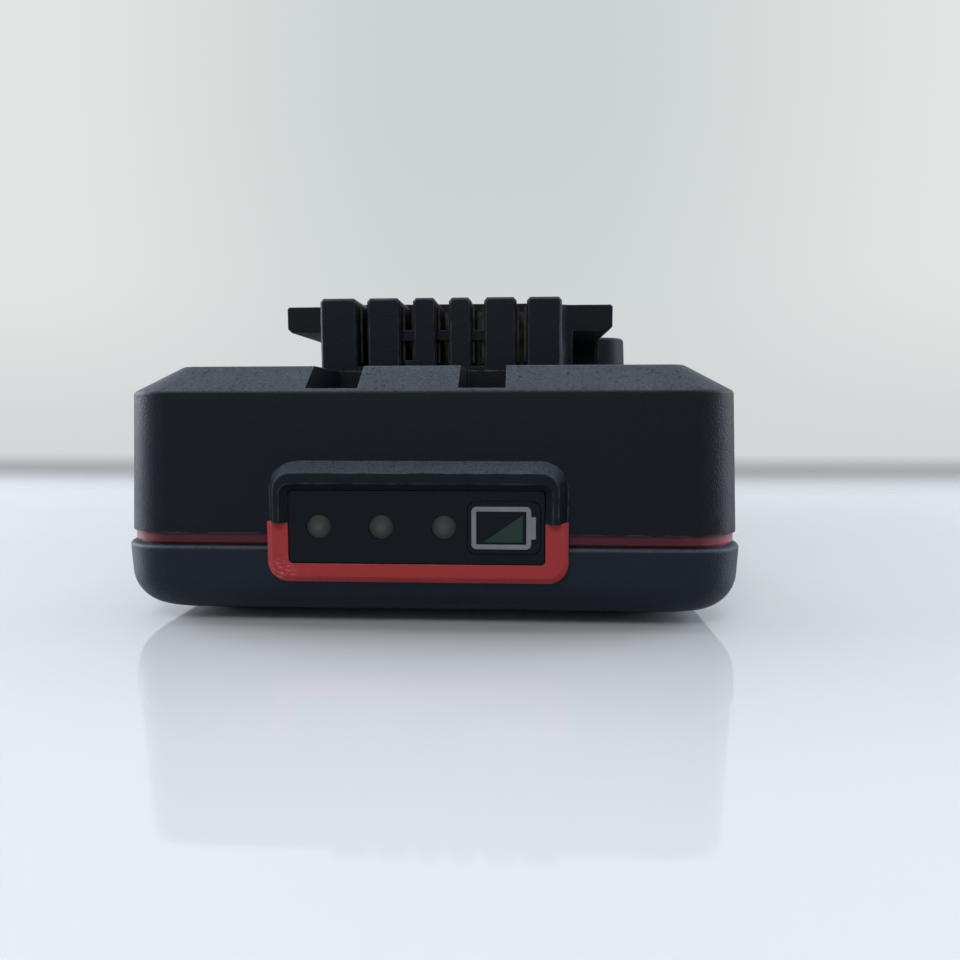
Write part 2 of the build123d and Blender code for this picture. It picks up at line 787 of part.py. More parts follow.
def cell_rings():
    """The pale insulating rings round the cells' plus ends."""
    rings = []
    for index, y in enumerate(cell_places()):
        side = 1 if index % 2 == 0 else -1
        end, inner = side * cell_length / 2, side * (cell_length / 2 - cell_ring_depth)
        ring = rod_x(y, cell_z, min(inner, end), max(inner, end), cell_ring_radius)
        rings.append(ring - rod_x(y, cell_z, min(inner, end) - overrun, max(inner, end) + overrun,
                                  cell_button_radius))
    return rings


def carrier(side):
    """One half of the cell carrier: a cradle with a bore for each cell and posts for the main board."""
    inner, outer = side * carrier_split / 2, side * cell_length / 2
    x0, x1 = min(inner, outer), max(inner, outer)
    body = block(x0, x1, carrier_front_y, carrier_rear_y, case_floor, carrier_top_z)
    for y in cell_places():
        body -= rod_x(y, cell_z, x0 - overrun, x1 + overrun, cell_radius + cell_fit)
        body -= block((x0 + x1) / 2 - (x1 - x0) * carrier_window_share / 2,
                      (x0 + x1) / 2 + (x1 - x0) * carrier_window_share / 2,
                      y - carrier_window_width / 2, y + carrier_window_width / 2,
                      case_floor - overrun, cell_z)
    for y in (board_y + board_post_inset, board_rear_y - board_post_inset):
        x = side * (board_width / 2 - board_post_inset)
        body += post(x, y, carrier_top_z, board_z, board_post_radius)
        body -= post(x, y, board_top_z - board_screw_length, board_z + overrun, board_screw_radius + cell_fit / 2)
    return body


def links(side):
    """The nickel straps welded across the cell ends on one side."""
    x0 = side * cell_length / 2
    x1 = side * (cell_length / 2 + link_thickness)
    places = cell_places()
    first = 0 if side < 0 else 1
    groups = [places[:first]] if first else []
    groups += [places[i:i + 2] for i in range(first, cell_count, 2)]
    straps = []
    for group in groups:
        straps.append(block(min(x0, x1), max(x0, x1), group[0] - link_width / 2, group[-1] + link_width / 2,
                            cell_z - link_width / 2, cell_z + link_width / 2))
    return straps


def side_paper(side):
    """The insulating sheet outside the straps on one side."""
    x0 = side * (cell_length / 2 + link_thickness)
    x1 = x0 + side * paper_thickness
    return block(min(x0, x1), max(x0, x1), carrier_front_y, carrier_rear_y, case_floor + carrier_wall,
                 carrier_top_z)


def rear_pad():
    """The foam block that keeps the carrier from moving towards the latch end."""
    low = case_floor + floor_round
    high = low + pad_height
    return block(-pad_width / 2, pad_width / 2, carrier_rear_y, case_rear_y(high) - case_wall, low, high)


def main_board():
    """The main circuit board on top of the carrier, with holes for its screws."""
    body = block(-board_width / 2, board_width / 2, board_y, board_rear_y, board_z, board_top_z)
    for x, y in board_screw_places():
        body -= post(x, y, board_z - overrun, board_top_z + overrun, board_screw_radius + cell_fit)
    return body


def board_screw_places():
    """The four corners where the main board is screwed to the carrier."""
    x = board_width / 2 - board_post_inset
    return [(side * x, y) for y in (board_y + board_post_inset, board_rear_y - board_post_inset)
            for side in (-1, 1)]


def board_screws():
    """The screws that hold the main board."""
    screws = []
    for x, y in board_screw_places():
        shank = post(x, y, board_top_z - board_screw_length, board_top_z, board_screw_radius)
        screws.append(shank + post(x, y, board_top_z, board_top_z + board_screw_head_height,
                                   board_screw_head_radius))
    return screws


def board_fets():
    """The power switches on the main board."""
    y = (board_y + board_rear_y) / 2
    places = [(side * board_width / 4, y + step * (fet_size + chip_size)) for side in (-1, 1)
              for step in (-1, 1)]
    return [block(x - fet_size / 2, x + fet_size / 2, y - fet_size / 2, y + fet_size / 2, board_top_z,
                  board_top_z + fet_height) for x, y in places]


def board_chip():
    """The controller on the main board."""
    y = (board_y + board_rear_y) / 2
    return block(-chip_size / 2, chip_size / 2, y - chip_size / 2, y + chip_size / 2, board_top_z,
                 board_top_z + chip_height)


def board_capacitor():
    """The upright capacitor that reaches into the tower."""
    y = (board_y + board_rear_y) / 2 + chip_size + 2 * capacitor_radius
    return post(0, y, board_top_z, board_top_z + capacitor_height, capacitor_radius)


def thermistor():
    """The bead that reads the cells' temperature, under the main board."""
    y = (board_y + board_rear_y) / 2
    return rod_y(board_width / 4, carrier_top_z + thermistor_radius, y, y + thermistor_length, thermistor_radius)


def power_tabs():
    """The two power tabs from the end straps up to the main board's edge."""
    top = board_z
    tabs = []
    for side, place in ((-1, cell_places()[-1]), (1, cell_places()[0])):
        x0 = side * (cell_length / 2 + link_thickness + paper_thickness)
        x1 = x0 + side * link_thickness
        edge = side * (board_width / 2 - tab_reach)
        y0, y1 = place - tab_width / 2, place + tab_width / 2
        upright = block(min(x0, x1), max(x0, x1), y0, y1, cell_z, top)
        bar = block(min(edge, x1), max(edge, x1), y0, y1, top - link_thickness, top)
        tabs.append(upright + bar)
    return tabs


def terminal(index):
    """One female contact: two leaves on the slot's walls, a spine behind them and a tail to the board."""
    x0, x1 = slot_spans()[index]
    x0, x1 = x0 + leaf_fit, x1 - leaf_fit
    spine_y = slot_rear_y - spine_fit - spine_depth
    leaf_y = comb_y + leaf_setback
    low = slot_floor_z + leaf_foot
    high = comb_top_z - leaf_top_gap
    body = block(x0, x1, spine_y, spine_y + spine_depth, board_top_z, high)
    leaves = [(low, high)]
    if not slot_is_power[index]:
        bridge_z = slot_floor_z + bridge_lift
        leaves = [(low, bridge_z - leaf_fit), (bridge_z + bridge_height + leaf_fit, high)]
    for z0, z1 in leaves:
        body += block(x0, x0 + leaf_thickness, leaf_y, spine_y, z0, z1)
        body += block(x1 - leaf_thickness, x1, leaf_y, spine_y, z0, z1)
    return body


def release_latch():
    """The latch: a guided body with a hook on top, a ribbed thumb pad behind and a skirt below."""
    half = latch_width / 2
    top = block_top_z - case_wall
    body = block(-half, half, latch_front_y, latch_rear_y, latch_floor_z, top)
    hook_y = latch_front_y + hook_setback
    hook_end = hook_y + hook_length
    points = [(hook_y, top - overrun), (hook_end, top - overrun), (hook_end, top + hook_rise),
              (hook_end - hook_land, top + hook_rise), (hook_y, top + hook_lip)]
    face = Plane.YZ.offset(-hook_width / 2) * make_face(Polyline(*points, close=True))
    body += extrude(face, hook_width)
    pad_top = top - thumb_drop
    pad_y = case_rear_y(pad_top) - thumb_recess
    body += block(-thumb_width / 2, thumb_width / 2, latch_rear_y - overrun, pad_y, pad_top - thumb_height, pad_top)
    gap = (thumb_height - thumb_rib_count * thumb_rib_height) / (thumb_rib_count + 1)
    for i in range(thumb_rib_count):
        low = pad_top - thumb_height + gap + i * (gap + thumb_rib_height)
        body += block(-thumb_width / 2, thumb_width / 2, pad_y, pad_y + thumb_rib_depth, low,
                      low + thumb_rib_height)
    body += block(-half, half, latch_rear_y - skirt_depth, latch_rear_y, latch_floor_z - skirt_drop,
                  latch_floor_z)
    return body


def latch_spring(side):
    """One of the two springs under the latch, drawn as a plain sleeve."""
    y = (latch_front_y + latch_rear_y - skirt_depth) / 2
    body = post(side * spring_offset, y, carrier_top_z, latch_floor_z, spring_radius)
    return body - post(side * spring_offset, y, carrier_top_z - overrun, latch_floor_z + overrun, spring_bore)


def case_screws():
    """The four screws that hold the case together, driven from below."""
    screws = []
    for x, y in screw_places():
        head = post(x, y, screw_sink - screw_head_height, screw_sink, screw_head_radius)
        head -= post(x, y, screw_sink - screw_head_height - overrun,
                     screw_sink - screw_head_height + screw_drive_depth, screw_drive_radius)
        screws.append(head + post(x, y, screw_sink, screw_sink + screw_length, screw_radius))
    return screws


def all_nodes():
    """Every piece of the pack under its name; a list holds separate solids of one node."""
    nodes = {
        "lower_case": lower_case(),
        "upper_case": upper_case(),
        "trim_ring": trim_ring(),
        "gauge_panel": gauge_panel(),
        "gauge_button": gauge_button(),
        "icon_outline": icon_outline(),
        "icon_wedge": icon_wedge(),
        "gauge_board": gauge_board(),
        "gauge_leds": gauge_leds(),
        "gauge_switch": gauge_switch(),
        "switch_plunger": switch_plunger(),
        "gauge_ribbon": gauge_ribbon(),
        "carrier_left": carrier(-1),
        "carrier_right": carrier(1),
        "cell_rings": cell_rings(),
        "links_left": links(-1),
        "links_right": links(1),
        "paper_left": side_paper(-1),
        "paper_right": side_paper(1),
        "rear_pad": rear_pad(),
        "main_board": main_board(),
        "board_screws": board_screws(),
        "board_fets": board_fets(),
        "board_chip": board_chip(),
        "board_capacitor": board_capacitor(),
        "thermistor": thermistor(),
        "power_tabs": power_tabs(),
        "release_latch": release_latch(),
        "latch_spring_left": latch_spring(-1),
        "latch_spring_right": latch_spring(1),
        "case_screws": case_screws(),
    }
    for i, x in enumerate(lens_places()):
        nodes[f"gauge_lens_{i + 1}"] = gauge_lens(x)
    for i in range(cell_count):
        nodes[f"cell_{i + 1}"] = cell(i)
    for i in range(len(slot_centre_shares)):
        nodes[f"terminal_{i + 1}"] = terminal(i)
    return nodes


os.makedirs("parts", exist_ok=True)
for name, shape in all_nodes().items():
    solids = [solid for piece in shape for solid in piece.solids()] if isinstance(shape, list) else shape.solids()
    export_step(solids[0] if len(solids) == 1 else Compound(children=solids), f"parts/{name}.step")
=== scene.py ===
"""A slide-on battery pack, dressed for its portrait on a glossy white table.

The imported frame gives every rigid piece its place. This file gives each one its finish, makes the turned,
coiled, threaded and crowned pieces whose form the frame keeps plain, and sets up the table, the wall, the
lamps and the camera.
"""
import logging
import math
from dataclasses import dataclass
from enum import Enum
from typing import Any, Optional

import bmesh
import bpy
import numpy as np
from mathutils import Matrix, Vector


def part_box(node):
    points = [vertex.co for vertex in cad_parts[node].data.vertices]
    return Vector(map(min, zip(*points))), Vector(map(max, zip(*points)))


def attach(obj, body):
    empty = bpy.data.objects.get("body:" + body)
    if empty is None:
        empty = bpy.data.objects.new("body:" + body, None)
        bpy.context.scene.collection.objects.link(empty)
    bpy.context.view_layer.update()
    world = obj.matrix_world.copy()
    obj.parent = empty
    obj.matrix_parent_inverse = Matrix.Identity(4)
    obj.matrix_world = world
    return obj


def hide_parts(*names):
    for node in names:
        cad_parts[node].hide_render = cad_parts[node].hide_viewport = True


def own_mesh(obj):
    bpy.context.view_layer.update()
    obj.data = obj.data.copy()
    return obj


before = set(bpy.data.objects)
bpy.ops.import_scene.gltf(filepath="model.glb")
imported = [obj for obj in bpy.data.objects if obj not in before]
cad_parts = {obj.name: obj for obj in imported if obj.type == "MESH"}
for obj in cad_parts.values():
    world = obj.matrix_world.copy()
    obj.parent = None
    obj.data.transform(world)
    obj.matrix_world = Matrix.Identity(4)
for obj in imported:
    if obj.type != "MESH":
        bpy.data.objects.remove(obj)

Material = bpy.types.Material
Tree = bpy.types.NodeTree
Socket = bpy.types.NodeSocket
Point = tuple[float, float, float]
Rgba = tuple[float, float, float, float]

MM = 0.001
MERGED_WITHIN = 1e-7
SHARP_FROM = math.radians(35)
SOCKET_LOBES = 6
UNSTRETCHED = (1.0, 1.0, 1.0)
RADIUS_MAP = "Radius"
PLASTIC_IOR = 1.5
LACQUER_IOR = 1.6
log = logging.getLogger("battery_pack")


class Rides(Enum):
    """The bodies of the pack that new pieces ride on."""

    PACK = "pack"
    BUTTON = "button"


class Facing(Enum):
    """Which way a turned piece looks; the value is the direction that runs away from its face."""

    DOWN = (0.0, 0.0, 1.0)
    UP = (0.0, 0.0, -1.0)
    FRONT = (0.0, 1.0, 0.0)
    LEFT = (1.0, 0.0, 0.0)
    RIGHT = (-1.0, 0.0, 0.0)

    def axes(self) -> tuple[np.ndarray, np.ndarray, np.ndarray]:
        """Three directions square to one another, to turn a profile with.

        Returns:
            The direction away from the face, and two that run across it.
        """
        along = np.array(self.value)
        first = np.array((0.0, 1.0, 0.0) if along[0] else (1.0, 0.0, 0.0))
        return along, first, np.cross(along, first)


# Helpers


def linear(hex_colour: str, gain: float = 1.0) -> Rgba:
    """Turn an sRGB hex colour into linear RGBA.

    Args:
        hex_colour: six hex digits.
        gain: how many times as bright it becomes, up to white.

    Returns:
        The linear colour with an alpha of 1.
    """
    channels = [int(hex_colour[i:i + 2], 16) / 255 for i in (0, 2, 4)]
    plain = [c / 12.92 if c <= 0.04045 else ((c + 0.055) / 1.055) ** 2.4 for c in channels]
    red, green, blue = [min(1.0, c * gain) for c in plain]
    return red, green, blue, 1.0


def fill(tree: Tree, node: bpy.types.Node, inputs: dict[Any, Any]) -> None:
    """Fill or link some of a node's sockets.

    Args:
        tree: the tree that the node is in.
        node: the node.
        inputs: socket names or numbers, each with a value or with another node's output socket.
    """
    for key, value in inputs.items():
        if isinstance(value, Socket):
            tree.links.new(value, node.inputs[key])
        else:
            node.inputs[key].default_value = value


def add_node(tree: Tree, kind: str, settings: Optional[dict[str, Any]] = None,
             inputs: Optional[dict[Any, Any]] = None) -> bpy.types.Node:
    """Add one node, set its properties, and fill or link its sockets.

    Args:
        tree: the node tree that gets it.
        kind: the node's type name.
        settings: property names and their values.
        inputs: socket names or numbers, each with a value or with another node's output socket.

    Returns:
        The new node.
    """
    made = tree.nodes.new(kind)
    for key, value in (settings or {}).items():
        setattr(made, key, value)
    fill(tree, made, inputs or {})
    return made


def product(tree: Tree, pattern: Socket, *factors: Any) -> Socket:
    """Multiply a pattern by other patterns or numbers, one after the other.

    Args:
        tree: the node tree.
        pattern: the first pattern.
        factors: what it is multiplied by.

    Returns:
        The product.
    """
    for factor in factors:
        times = add_node(tree, "ShaderNodeMath", {"operation": "MULTIPLY"}, {0: pattern, 1: factor})
        pattern = times.outputs[0]
    return pattern


def layered(tree: Tree, colour: Any, *layers: tuple[Socket, Any]) -> Any:
    """Lay colours over a colour, one after the other.

    Args:
        tree: the node tree.
        colour: the colour at the bottom.
        layers: for each layer the pattern that says how much of it shows, and its colour.

    Returns:
        The colour that shows.
    """
    for amount, over in layers:
        mix = add_node(tree, "ShaderNodeMix", {"data_type": "RGBA"}, {0: amount, 6: colour, 7: over})
        colour = mix.outputs[2]
    return colour


def bare_material(name: str) -> tuple[Material, Tree]:
    """Make a material whose tree is empty.

    Args:
        name: the material's name.

    Returns:
        The material and its tree.
    """
    material = bpy.data.materials.new(name)
    material.use_nodes = True
    material.node_tree.nodes.clear()
    return material, material.node_tree


def add_object(name: str, data: bpy.types.ID) -> bpy.types.Object:
    """Put a mesh, lamp or camera in the scene.

    Args:
        name: the object's name.
        data: the mesh, lamp or camera.

    Returns:
        The linked object.
    """
    made = bpy.data.objects.new(name, data)
    bpy.context.scene.collection.objects.link(made)
    return made


def corners(node: str) -> tuple[np.ndarray, np.ndarray]:
    """The lowest and the highest corner of a node's box, in metres."""
    low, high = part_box(node)
    return np.array(low), np.array(high)


@dataclass(frozen=True)
class Surface:
    """A grid of points: row i, column j is the surface at the parameters (u_i, v_j).

    Attributes:
        points: an array of shape (rows, columns, 3), in metres; the last column joins the first.
        capped: whether the first and last rows each get a face of their own.
    """

    points: np.ndarray
    capped: bool = False


def mesh_piece(name: str, surfaces: list[Surface]) -> bpy.types.Object:
    """Join surfaces into one smooth mesh piece at the origin, with its faces turned outwards.

    Args:
        name: the piece's name.
        surfaces: the grids that it is made of; where two share a line of points, they are merged.

    Returns:
        The linked object.
    """
    all_points, all_faces, start = [], [], 0
    for surface in surfaces:
        rows, columns = surface.points.shape[:2]
        index = np.arange(rows * columns).reshape(rows, columns) + start
        beside = np.roll(index, -1, axis=1)
        quads = np.stack([index[:-1], index[1:], beside[1:], beside[:-1]], axis=-1).reshape(-1, 4)
        all_points.append(surface.points.reshape(-1, 3))
        all_faces.extend(quads.tolist())
        if surface.capped:
            all_faces.extend([index[0].tolist(), index[-1][::-1].tolist()])
        start += rows * columns
    mesh = bpy.data.meshes.new(name)
    mesh.from_pydata(np.concatenate(all_points).tolist(), [], all_faces)
    work = bmesh.new()
    work.from_mesh(mesh)
    bmesh.ops.remove_doubles(work, verts=work.verts, dist=MERGED_WITHIN)
    bmesh.ops.recalc_face_normals(work, faces=work.faces)
    work.to_mesh(mesh)
    work.free()
    mesh.validate()
    mesh.shade_smooth()
    mesh.set_sharp_from_angle(angle=SHARP_FROM)
    return add_object(name, mesh)


def turned(profile: np.ndarray, centre: Point, facing: Facing, sides: int,
           lobes: Optional[np.ndarray] = None) -> Surface:
    """Turn a profile round an axis, with the lobes of a screw's socket where they are asked for.

    With the axis d and two directions e and f square to it, row i and column j is
    centre + depth_i d + radius_i (1 + lobe_i cos 6 t) (e cos t + f sin t), where t = 2 pi j / sides.

    Args:
        profile: rows of (radius, depth) in metres, depth counted away from the face.
        centre: the axis point at depth 0.
        facing: the way the face looks.
        sides: how many columns go round.
        lobes: for each row the share by which the lobes stand out.

    Returns:
        The turned surface.
    """
    along, first, second = facing.axes()
    t = np.linspace(0, 2 * np.pi, sides, endpoint=False)[None, :, None]
    share = np.zeros(len(profile)) if lobes is None else lobes
    radius = profile[:, 0][:, None, None] * (1 + share[:, None, None] * np.cos(SOCKET_LOBES * t))
    depth = profile[:, 1][:, None, None]
    return Surface(np.array(centre) + depth * along + radius * (np.cos(t) * first + np.sin(t) * second))


def finish_piece(piece: bpy.types.Object, body: Rides, material: Material, node: str) -> None:
    """Give a new piece its body, its material and the node that it stands for.

    Args:
        piece: the new piece.
        body: the body it rides on.
        material: its material.
        node: the frame's node that it takes the place of.
    """
    piece.data.materials.append(material)
    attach(piece, body.value)
    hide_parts(node)
    log.info("made %s, %d faces, on %s", piece.name, len(piece.data.polygons), body.value)


def dress(nodes: list[str], material: Material) -> None:
    """Put one material on every slot of some of the frame's nodes.

    Args:
        nodes: the nodes' names.
        material: what they get.
    """
    for name in nodes:
        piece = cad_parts[name]
        if not piece.material_slots:
            piece.data.materials.append(material)
        for slot in piece.material_slots:
            slot.material = material
        log.info("dressed %s in %s", name, material.name)


# Finishes


@dataclass(frozen=True)
class Blots:
    """A cloudy pattern, or a streaky one where its blots are drawn out.

    Attributes:
        size_mm: the size of one blot.
        low: the noise value that becomes 0.
        high: the noise value that becomes 1.
        detail: how many finer layers it has.
        stretch: the scale along X, Y and Z, small where streaks run.
        slant: how far the streaks are turned round Y, in radians.
        roughness: how strong the finer layers are.
    """

    size_mm: float
    low: float = 0.3
    high: float = 0.7
    detail: float = 2.0
    stretch: Point = UNSTRETCHED
    slant: float = 0.0
    roughness: float = 0.55


class Coat:
    """A material in the making.

    Attributes:
        material: the material.
        tree: its node tree.
        shader: its Principled shader.
        place: the Object coordinates that its patterns read, in metres.
    """

    def __init__(self, name: str, colour: str) -> None:
        """Start the material with its shader and coordinates.

        Args:
            name: the material's name.
            colour: its base colour, sRGB hex.
        """
        self.material, self.tree = bare_material(name)
        self.shader = add_node(self.tree, "ShaderNodeBsdfPrincipled", inputs={"Base Color": linear(colour)})
        add_node(self.tree, "ShaderNodeOutputMaterial", inputs={"Surface": self.shader.outputs["BSDF"]})
        self.place = add_node(self.tree, "ShaderNodeTexCoord").outputs["Object"]

    def give(self, inputs: dict[str, Any]) -> None:
        """Fill or link some of the shader's sockets."""
        fill(self.tree, self.shader, inputs)

    def cloud(self, blots: Blots) -> Socket:
        """Make a cloudy or streaky pattern.

        Args:
            blots: what it looks like.

        Returns:
            The pattern, 0 to 1.
        """
        place = self.place
        if blots.stretch != UNSTRETCHED:
            place = add_node(self.tree, "ShaderNodeMapping", inputs={
                "Vector": place, "Rotation": (0.0, blots.slant, 0.0), "Scale": blots.stretch}).outputs[0]
        noise = add_node(self.tree, "ShaderNodeTexNoise", inputs={
            "Vector": place, "Scale": 1 / (blots.size_mm * MM), "Detail": blots.detail,
            "Roughness": blots.roughness})
        return add_node(self.tree, "ShaderNodeMapRange", inputs={
            0: noise.outputs["Fac"], 1: blots.low, 2: blots.high}).outputs[0]

    def near(self, at: Point, inner: float, outer: float) -> Socket:
        """A pattern that is 1 within the inner distance from a point, and 0 past the outer one."""
        away = add_node(self.tree, "ShaderNodeVectorMath", {"operation": "DISTANCE"}, {0: self.place, 1: at})
        return add_node(self.tree, "ShaderNodeMapRange", inputs={
            0: away.outputs["Value"], 1: inner, 2: outer, 3: 1.0, 4: 0.0}).outputs[0]

    def rounded(self, round_mm: float, rays: int = 4) -> Socket:
        """The normal with its edges rounded to a moulded radius, which a few rays look for."""
        bevel = add_node(self.tree, "ShaderNodeBevel", {"samples": rays}, {"Radius": round_mm * MM})
        return bevel.outputs["Normal"]

    def edges(self, rounded: Socket, flat: float = 0.995, sharp: float = 0.86) -> Socket:
        """A 0 to 1 mask of the edges, where the rounded normal turns away from the face's own.

        Args:
            rounded: the rounded normal.
            flat: the cosine between the two at which the mask is 0.
            sharp: the cosine at which it is 1.

        Returns:
            The mask.
        """
        own = add_node(self.tree, "ShaderNodeNewGeometry").outputs["Normal"]
        even = add_node(self.tree, "ShaderNodeVectorMath", {"operation": "DOT_PRODUCT"}, {0: rounded, 1: own})
        return add_node(self.tree, "ShaderNodeMapRange", inputs={
            0: even.outputs["Value"], 1: flat, 2: sharp}).outputs[0]

    def roughen(self, pattern: Socket, ends: tuple[float, float]) -> None:
        """Let the roughness follow a pattern, between its values where that is 0 and where it is 1."""
        rough = add_node(self.tree, "ShaderNodeMapRange", inputs={0: pattern, 3: ends[0], 4: ends[1]})
        self.give({"Roughness": rough.outputs[0]})

    def emboss(self, height: Socket, lift_mm: float, normal: Optional[Socket] = None) -> None:
        """Let a pattern raise the surface.

        Args:
            height: the pattern.
            lift_mm: how far it stands up where it is 1.
            normal: the normal it starts from, if not the face's own.
        """
        base = {} if normal is None else {"Normal": normal}
        bump = add_node(self.tree, "ShaderNodeBump", inputs={
            "Height": height, "Distance": lift_mm * MM, "Strength": 1.0, **base})
        self.give({"Normal": bump.outputs["Normal"]})

    def stain(self, pattern: Socket, colour: Any, tone: Point) -> None:
        """Multiply a colour by a tone where a pattern is high, and paint the surface with it."""
        dark = add_node(self.tree, "ShaderNodeMix", {"data_type": "RGBA", "blend_type": "MULTIPLY"},
                        {0: pattern, 6: colour, 7: (*tone, 1.0)})
        self.give({"Base Color": dark.outputs[2]})


@dataclass(frozen=True)
class Finish:
    """What every finish has.

    Attributes:
        name: the material's name.
        slot: the record's material slot; this script does not use it.
        colour: its base colour, sRGB hex.
    """

    name: str
    slot: str
    colour: str

    def paint(self, coat: Coat) -> None:
        """Lay the finish on the material in the making."""

    def make(self) -> Material:
        """Build the material.

        Returns:
            The material, with the finish on it.
        """
        coat = Coat(self.name, self.colour)
        self.paint(coat)
        return coat.material


@dataclass(frozen=True)
class GrainedPlastic(Finish):
    """ABS moulded against a spark-eroded tool: an even grain, satin where hands rub it.

    To the eye it is nearly black where nothing bright stands in front of it and slate grey on faces that
    look up, where fine dust and a painted sheen lie between the grains and leave their tips dark. Its edges
    are rounded a little and go grey where they have been knocked, with a painted highlight along them.

    Attributes:
        wear_and_highlight: the colour of rubbed edges, and of the painted highlight along them.
        dust_and_sheen_colour: the colour of the dust, and of the painted sheen on faces that look up.
        grain_mm: the width of one grain, drawn coarser than a real one, so that it shows in the portrait
            as about two pixels.
        lift_mm: how far a grain stands up.
        dull: the roughness of untouched faces.
        rubbed: the roughness of handled patches.
        round_mm: the moulded radius of the edges.
        edge_lightening: how strongly edges lighten from wear and painted highlight, 0 to 1.
        dust_and_sheen: how much dust and painted sheen lie on faces that look up, 0 to 1.
        shine: the specular level; grain this deep shades itself.
        tip_gain: how many times as bright a grain's tip is.
        knocks: where edges have been knocked and take the painted highlight.
        handled: where hands have been.
        drift: where the dust and painted sheen lie thicker.
        drift_film: how thick the dust and sheen are outside and inside the drifts.
        grain_film: how thick it is between the grains and on their tips.
        specks: the small bare specks in the dust; they are where the pattern is 0.
        speck_film: how thick it is in the specks and beside them.
        dust_and_sheen_slope: the upward share of the normal at which dust and painted sheen begin and are
            full.
    """

    wear_and_highlight: str = "6a7078"
    dust_and_sheen_colour: str = "6b747f"
    grain_mm: float = 0.24
    lift_mm: float = 0.030
    dull: float = 0.52
    rubbed: float = 0.44
    round_mm: float = 0.25
    edge_lightening: float = 0.6
    dust_and_sheen: float = 0.38
    shine: float = 0.11
    tip_gain: float = 1.3
    knocks: Blots = Blots(2.2, 0.38, 0.6, 4.0)
    handled: Blots = Blots(14.0, 0.42, 0.62, 3.0)
    drift: Blots = Blots(8.0, 0.3, 0.75, 3.0)
    drift_film: tuple[float, float] = (0.75, 1.0)
    grain_film: tuple[float, float] = (1.25, 0.45)
    specks: Blots = Blots(0.5, 0.66, 0.60, 3.0)
    speck_film: tuple[float, float] = (0.35, 1.0)
    dust_and_sheen_slope: tuple[float, float] = (0.3, 0.8)

    def paint(self, coat: Coat) -> None:
        """Lay on the grain, marks of use, worn edges with painted highlight, and dust with painted sheen.

        Args:
            coat: the material in the making.
        """
        grain = coat.cloud(Blots(self.grain_mm))
        rounded = coat.rounded(self.round_mm)
        tips = layered(coat.tree, linear(self.colour), (grain, linear(self.colour, self.tip_gain)))
        # Painted highlight along the edges, mixed with wear where they are knocked.
        wear_and_highlight = product(coat.tree, coat.edges(rounded), coat.cloud(self.knocks), self.edge_lightening)
        shown = layered(coat.tree, self.marks(coat, tips), (wear_and_highlight, linear(self.wear_and_highlight)),
                        (self.dust_and_sheen_amount(coat, grain), linear(self.dust_and_sheen_colour)))
        coat.roughen(coat.cloud(self.handled), (self.dull, self.rubbed))
        coat.emboss(grain, self.lift_mm, rounded)
        coat.give({"Base Color": shown, "Specular IOR Level": self.shine, "IOR": PLASTIC_IOR})

    def dust_and_sheen_amount(self, coat: Coat, grain: Socket) -> Socket:
        """How much dust and painted sheen lie at a point: on upward faces, drifting, and thin on the grains'
        tips.

        Args:
            coat: the material in the making.
            grain: the pattern of the grain.

        Returns:
            The amount, 0 to 1.
        """
        normal = add_node(coat.tree, "ShaderNodeNewGeometry").outputs["Normal"]
        upward = add_node(coat.tree, "ShaderNodeSeparateXYZ", inputs={0: normal}).outputs["Z"]
        # Painted sheen: faces that look up are lightened along with the dust.
        start, full = self.dust_and_sheen_slope
        lying = add_node(coat.tree, "ShaderNodeMapRange", inputs={0: upward, 1: start, 2: full}).outputs[0]
        films = [add_node(coat.tree, "ShaderNodeMapRange", inputs={0: pattern, 3: low, 4: high}).outputs[0]
                 for pattern, (low, high) in ((coat.cloud(self.drift), self.drift_film),
                                              (grain, self.grain_film),
                                              (coat.cloud(self.specks), self.speck_film))]
        return product(coat.tree, *films, lying, self.dust_and_sheen)

    def marks(self, coat: Coat, under: Socket) -> Socket:
        """Marks of use on top of the plastic's own colour; plain plastic has none."""
        return under


